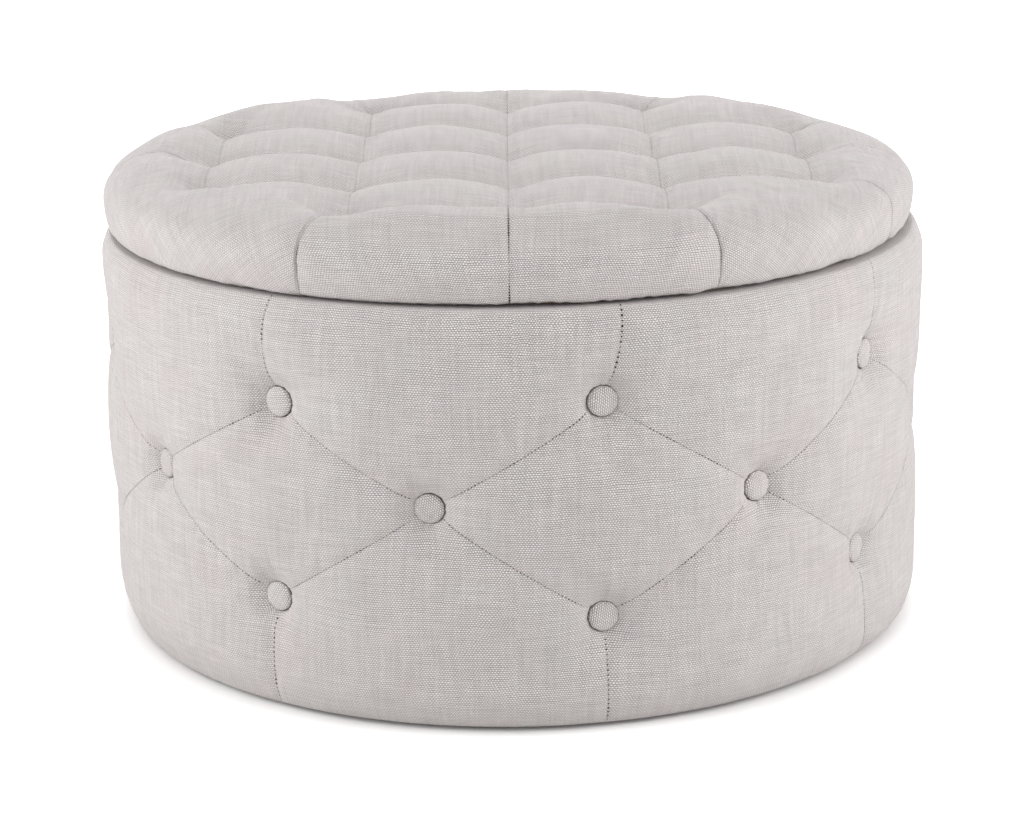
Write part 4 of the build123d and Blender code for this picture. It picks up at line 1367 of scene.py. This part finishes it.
def dust_cloth():
    """Non-woven polypropylene: matte black felt-like sheet with a bonded dot pattern."""
    def links(tree):
        base = colours().dust_cloth
        cloth = node(tree, "UVMap", uv_map="cloth")
        dots = node(tree, "TexVoronoi", {"Vector": cloth, "Scale": 500.0})
        inputs = patterned(tree, dots, shade(base, 0.6), shade(base, 1.6), 0.3, FELT_RELIEF)
        return {**inputs, "Roughness": 0.95}
    return material("nonwoven_dust_cloth", links)


def wood(name, base, grain_direction, ring_scale, darkness):
    """Sawn wood: long streaks of darker grain over broad bands, low sheen."""
    def links(tree):
        place = node(tree, "TexCoord", output="Object")
        drawn = node(tree, "Mapping", {"Vector": place, "Scale": grain_direction})
        rings = {"Vector": drawn, "Scale": ring_scale, "Detail": 6.0, "Roughness": 0.6}
        fine = node(tree, "TexNoise", rings)
        broad = node(tree, "TexNoise", {"Vector": drawn, "Scale": ring_scale / 6, "Detail": 3.0})
        grain = node(tree, "Math", [fine, broad], operation="MULTIPLY")
        grain = node(tree, "MapRange", {"Value": grain, "From Min": 0.12, "From Max": 0.42})
        bump = node(tree, "Bump", {"Height": fine, "Strength": 0.25, "Distance": GRAIN_RELIEF})
        inputs = patterned(tree, grain, shade(base, darkness), shade(base))
        return {**inputs, "Normal": bump, "Roughness": 0.6}
    return material(name, links)


def hardboard():
    """Pressed wood fibre: brown with fine flecks in every direction."""
    def links(tree):
        base = colours().hardboard
        place = node(tree, "TexCoord", output="Object")
        flecks = node(tree, "TexNoise", {"Vector": place, "Scale": 700.0, "Detail": 4.0, "Roughness": 0.7})
        return {**patterned(tree, flecks, shade(base, 0.7), shade(base)), "Roughness": 0.7}
    return material("pressed_hardboard", links)


def plated_steel(name, base, roughness):
    """Zinc plated steel: grey metal whose roughness and tone vary in small crystals."""
    def links(tree):
        place = node(tree, "TexCoord", output="Object")
        crystals = node(tree, "TexVoronoi", {"Vector": place, "Scale": 900.0})
        spread = node(tree, "Math", [crystals, 0.15, roughness], operation="MULTIPLY_ADD")
        inputs = patterned(tree, crystals, shade(base), shade(base, 0.8))
        return {**inputs, "Roughness": spread, "Metallic": 1.0}
    return material(name, links)


def waxed_twine():
    """Waxed flax twine: two plies that wind round each other, drawn as slanted bands."""
    def links(tree):
        base = colours().twine
        place = node(tree, "TexCoord", output="Object")
        bands = {"Vector": place, "Scale": 160.0, "Distortion": 1.0}
        plies = node(tree, "TexWave", bands, "Fac", bands_direction="DIAGONAL")
        return {**patterned(tree, plies, shade(base, 0.65), shade(base)), "Roughness": 0.5}
    return material("waxed_flax_twine", links)


def moulded_plastic():
    """Moulded polypropylene: dark, softly shiny, with a fine spark-eroded grain."""
    def links(tree):
        base = colours().plastic
        place = node(tree, "TexCoord", output="Object")
        grain = node(tree, "TexNoise", {"Vector": place, "Scale": 1500.0, "Detail": 2.0})
        return {**patterned(tree, grain, shade(base), shade(base, 1.3), 0.2, FINE_RELIEF), "Roughness": 0.45}
    return material("moulded_polypropylene", links)


def seen_directly(tree):
    """One where something is seen, also in a reflection or through glass, zero where it only gives light."""
    kinds = ("Is Camera Ray", "Is Glossy Ray", "Is Transmission Ray")
    seen, glossy, clear = (node(tree, "LightPath", output=kind) for kind in kinds)
    seen = node(tree, "Math", [seen, glossy], operation="ADD")
    seen = node(tree, "Math", [seen, clear], operation="ADD")
    return node(tree, "Math", [seen, 1.0], operation="MINIMUM")


def studio_paper():
    """White studio paper, with painted light of its own that only the camera, reflections and glass see,
    dimmed by ambient occlusion into a painted shadow where the object keeps the light off.
    """
    shade_reach = 0.09
    lit_share = 0.82

    def links(tree):
        # Painted shadow: the paper's glow is dimmed by ambient occlusion round the object
        open_sky = node(tree, "AmbientOcclusion", {"Distance": shade_reach}, "AO", samples=8)
        glow = node(tree, "Math", [open_sky, 1.6], operation="POWER")
        glow = node(tree, "Math", [glow, lit_share], operation="MULTIPLY")
        glow = node(tree, "Math", [glow, seen_directly(tree)], operation="MULTIPLY")
        return {"Base Color": shade(colours().floor), "Emission Color": PLAIN_WHITE,
                "Emission Strength": glow, "Roughness": 1.0, "Specular IOR Level": 0.0}
    return material("studio_paper", links)


# Stage

# Place, width and power of each soft lamp, in metres and watts
LAMPS = {
    "left_softbox": ((-2.5, -0.9, 1.2), 1.8, 42.5),
    "right_softbox": ((2.5, -0.9, 1.2), 1.8, 41.5),
    "front_softbox": ((0.0, -2.6, 2.6), 2.0, 14.0),
    "top_softbox": ((0.0, 2.2, 2.05), 2.0, 44.0),
}
LAMP_TARGET = (0, 0, 0.25)
CAMERA_PLACE = (-0.0014, -2.6667, 0.9506)
CAMERA_PITCH = np.radians(15.897)
CAMERA_ROLL = np.radians(0.777)
# Focal length in the millimetres of a 36 mm wide sensor
CAMERA_LENS = 96.89
SENSOR_WIDTH = 36.0
FLOOR_HALF = 6.0
SURROUND_LIGHT = 0.47


def make_camera():
    """Camera at the photograph's place."""
    scene = bpy.context.scene
    data = bpy.data.cameras.new("photo_camera")
    data.sensor_width = SENSOR_WIDTH
    data.lens = CAMERA_LENS
    camera = bpy.data.objects.new("photo_camera", data)
    scene.collection.objects.link(camera)
    camera.location = CAMERA_PLACE
    camera.rotation_mode = "QUATERNION"
    tilt = Euler((np.pi / 2 - CAMERA_PITCH, 0, 0)).to_quaternion()
    camera.rotation_quaternion = tilt @ Euler((0, 0, -CAMERA_ROLL)).to_quaternion()
    scene.camera = camera


def make_lamp(name, place, width, power):
    """Square soft lamp that shines at the middle of the ottoman."""
    light = bpy.data.lights.new(name, "AREA")
    light.shape = "RECTANGLE"
    light.size = width
    light.size_y = width
    light.energy = power
    lamp = bpy.data.objects.new(name, light)
    bpy.context.scene.collection.objects.link(lamp)
    lamp.location = place
    lamp.rotation_mode = "QUATERNION"
    aim = Vector(np.array(LAMP_TARGET) - np.array(place))
    lamp.rotation_quaternion = aim.to_track_quat("-Z", "Y")


def make_surround():
    """Even surround: plain white where it is seen, and dimmer as a light."""
    world = bpy.data.worlds.new("studio_surround")
    world.use_nodes = True
    bpy.context.scene.world = world
    tree = world.node_tree
    tree.nodes.clear()
    fill = node(tree, "Background", {"Color": PLAIN_WHITE, "Strength": SURROUND_LIGHT})
    white = node(tree, "Background", {"Color": PLAIN_WHITE, "Strength": 1.0})
    mixed = node(tree, "MixShader", [seen_directly(tree), fill, white])
    node(tree, "OutputWorld", {"Surface": mixed})


def make_studio():
    """Camera, pale floor, four soft lamps and an even white surround."""
    bpy.context.scene.view_settings.view_transform = "Standard"
    make_camera()
    corners = np.array([(-1, -1, 0), (1, -1, 0), (1, 1, 0), (-1, 1, 0)]) * FLOOR_HALF
    add_mesh("studio_floor", corners, np.array([[0, 1, 2, 3]]), None, [studio_paper()])
    for name, lamp in LAMPS.items():
        make_lamp(name, *lamp)
    make_surround()


# Operators

class OTTOMAN_OT_side_cover(bpy.types.Operator):
    """Make the padded, sewn side of the drum"""
    bl_idname = "ottoman.side_cover"
    bl_label = "Side cover"

    def execute(self, context):
        settle_side()
        cover = make_side_cover()
        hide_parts("side_cover", "side_padding")
        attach(cover, "base")
        pockets = make_button_pockets()
        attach(pockets, "base")
        return {"FINISHED"}


class OTTOMAN_OT_side_stitches(bpy.types.Operator):
    """Make the stitches of the diamond and upright seams"""
    bl_idname = "ottoman.side_stitches"
    bl_label = "Side stitches"

    def execute(self, context):
        for stitches in make_side_stitches():
            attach(stitches, "base")
        return {"FINISHED"}


class OTTOMAN_OT_buttons(bpy.types.Operator):
    """Make the three rows of covered buttons"""
    bl_idname = "ottoman.buttons"
    bl_label = "Covered buttons"

    def execute(self, context):
        for row_name in ROW_LEVELS:
            buttons = make_button_row(row_name)
            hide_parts(row_name)
            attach(buttons, "base")
        return {"FINISHED"}


class OTTOMAN_OT_lid_cover(bpy.types.Operator):
    """Make the tufted lid"""
    bl_idname = "ottoman.lid_cover"
    bl_label = "Lid cover"

    def execute(self, context):
        settle_lid()
        cover = make_lid_cover()
        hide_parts("lid_cover", "lid_cushion")
        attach(cover, "lid")
        return {"FINISHED"}


class OTTOMAN_OT_lid_stitches(bpy.types.Operator):
    """Make the stitches of the lid's seams"""
    bl_idname = "ottoman.lid_stitches"
    bl_label = "Lid stitches"

    def execute(self, context):
        for stitches in make_lid_stitches():
            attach(stitches, "lid")
        return {"FINISHED"}


class OTTOMAN_OT_linings(bpy.types.Operator):
    """Make the linings and the dust cover"""
    bl_idname = "ottoman.linings"
    bl_label = "Linings"

    def execute(self, context):
        waviness, dust_waviness = 0.2 * MM, 0.3 * MM
        inside = 0.3 * MM
        sheets = []
        side = make_side_lining()
        height = liner_high.z - liner_low.z
        sheets.append((side, "side_lining", "base", (FULL_TURN * liner_high.x, height), None, "liner_board"))
        plans = (
            ("floor_lining", "floor_panel", "base", waviness, lining_cloth(), 1),
            ("lid_lining", "lid_board", "lid", waviness, lining_cloth(), -1),
            ("dust_cover", "bottom_board", "base", dust_waviness, dust_cloth(), -1),
        )
        for node_name, carrier, body, depth, cloth, rise in plans:
            low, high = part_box(node_name)
            level = (high.z if rise > 0 else low.z) - rise * inside
            made = make_sheet_disc(node_name + "_cloth", high.x, level, depth, len(node_name), cloth, rise)
            flat = (2 * high.x, 2 * high.x)
            sheets.append((made, node_name, body, flat, np.pi * high.x ** 2, carrier))
        for made, node_name, body, flat, area, carrier in sheets:
            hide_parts(node_name)
            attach(made, body)
        return {"FINISHED"}


class OTTOMAN_OT_frame_finishes(bpy.types.Operator):
    """Give the frame's own pieces their materials"""
    bl_idname = "ottoman.frame_finishes"
    bl_label = "Frame finishes"

    def execute(self, context):
        c = colours()
        level_grain, upright_grain = (0.15, 1.0, 4.0), (1.0, 1.0, 0.08)
        finishes = {
            wood("birch_plywood", c.plywood, level_grain, 60.0, 0.72):
                ("bottom_board", "lower_hoop", "upper_hoop", "drum_wall", "lid_board"),
            wood("sawn_pine", c.pine, upright_grain, 90.0, 0.62):
                ("uprights", "locating_blocks", "button_toggles"),
            hardboard(): ("liner_board", "floor_panel"),
            plated_steel("zinc_plated_steel", c.zinc, 0.32):
                ("glide_nails", "hoop_screws", "upright_screws", "wall_nails", "block_screws"),
            plated_steel("galvanised_wire", c.wire, 0.38):
                ("bottom_staples", "rim_staples", "lid_hem_staples", "tuft_staples"),
            waxed_twine(): ("button_twines", "tuft_twines"),
            moulded_plastic(): ("glide_feet",),
        }
        for finish, names in finishes.items():
            for name in names:
                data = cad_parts[name].data
                data.materials.clear()
                data.materials.append(finish)
        return {"FINISHED"}


class OTTOMAN_OT_studio(bpy.types.Operator):
    """Set up the camera, the floor and the lamps"""
    bl_idname = "ottoman.studio"
    bl_label = "Studio"

    def execute(self, context):
        make_studio()
        return {"FINISHED"}


OPERATORS = (
    OTTOMAN_OT_studio, OTTOMAN_OT_side_cover, OTTOMAN_OT_side_stitches, OTTOMAN_OT_buttons,
    OTTOMAN_OT_lid_cover, OTTOMAN_OT_lid_stitches, OTTOMAN_OT_linings, OTTOMAN_OT_frame_finishes,
)


class OTTOMAN_PT_panel(bpy.types.Panel):
    """Sidebar panel with every step and size"""
    bl_idname = "OTTOMAN_PT_panel"
    bl_label = "Tufted Storage Ottoman"
    bl_space_type = "VIEW_3D"
    bl_region_type = "UI"
    bl_category = "Ottoman"

    def draw(self, context):
        for step in OPERATORS:
            self.layout.operator(step.bl_idname)
        for group in (context.scene.ottoman_sizes, context.scene.ottoman_colours):
            for name in group.__annotations__:
                self.layout.prop(group, name)


CLASSES = (OttomanSizes, OttomanColours, *OPERATORS, OTTOMAN_PT_panel)


def register():
    """Register the classes and their properties."""
    for made in CLASSES:
        bpy.utils.register_class(made)
    bpy.types.Scene.ottoman_sizes = bpy.props.PointerProperty(type=OttomanSizes)
    bpy.types.Scene.ottoman_colours = bpy.props.PointerProperty(type=OttomanColours)


def unregister():
    """Take the properties and classes away again."""
    del bpy.types.Scene.ottoman_colours
    del bpy.types.Scene.ottoman_sizes
    for made in reversed(CLASSES):
        bpy.utils.unregister_class(made)


def main():
    """Make every piece in order."""
    register()
    for step in OPERATORS:
        group, name = step.bl_idname.split(".")
        getattr(getattr(bpy.ops, group), name)()


if __name__ == "__main__":
    main()
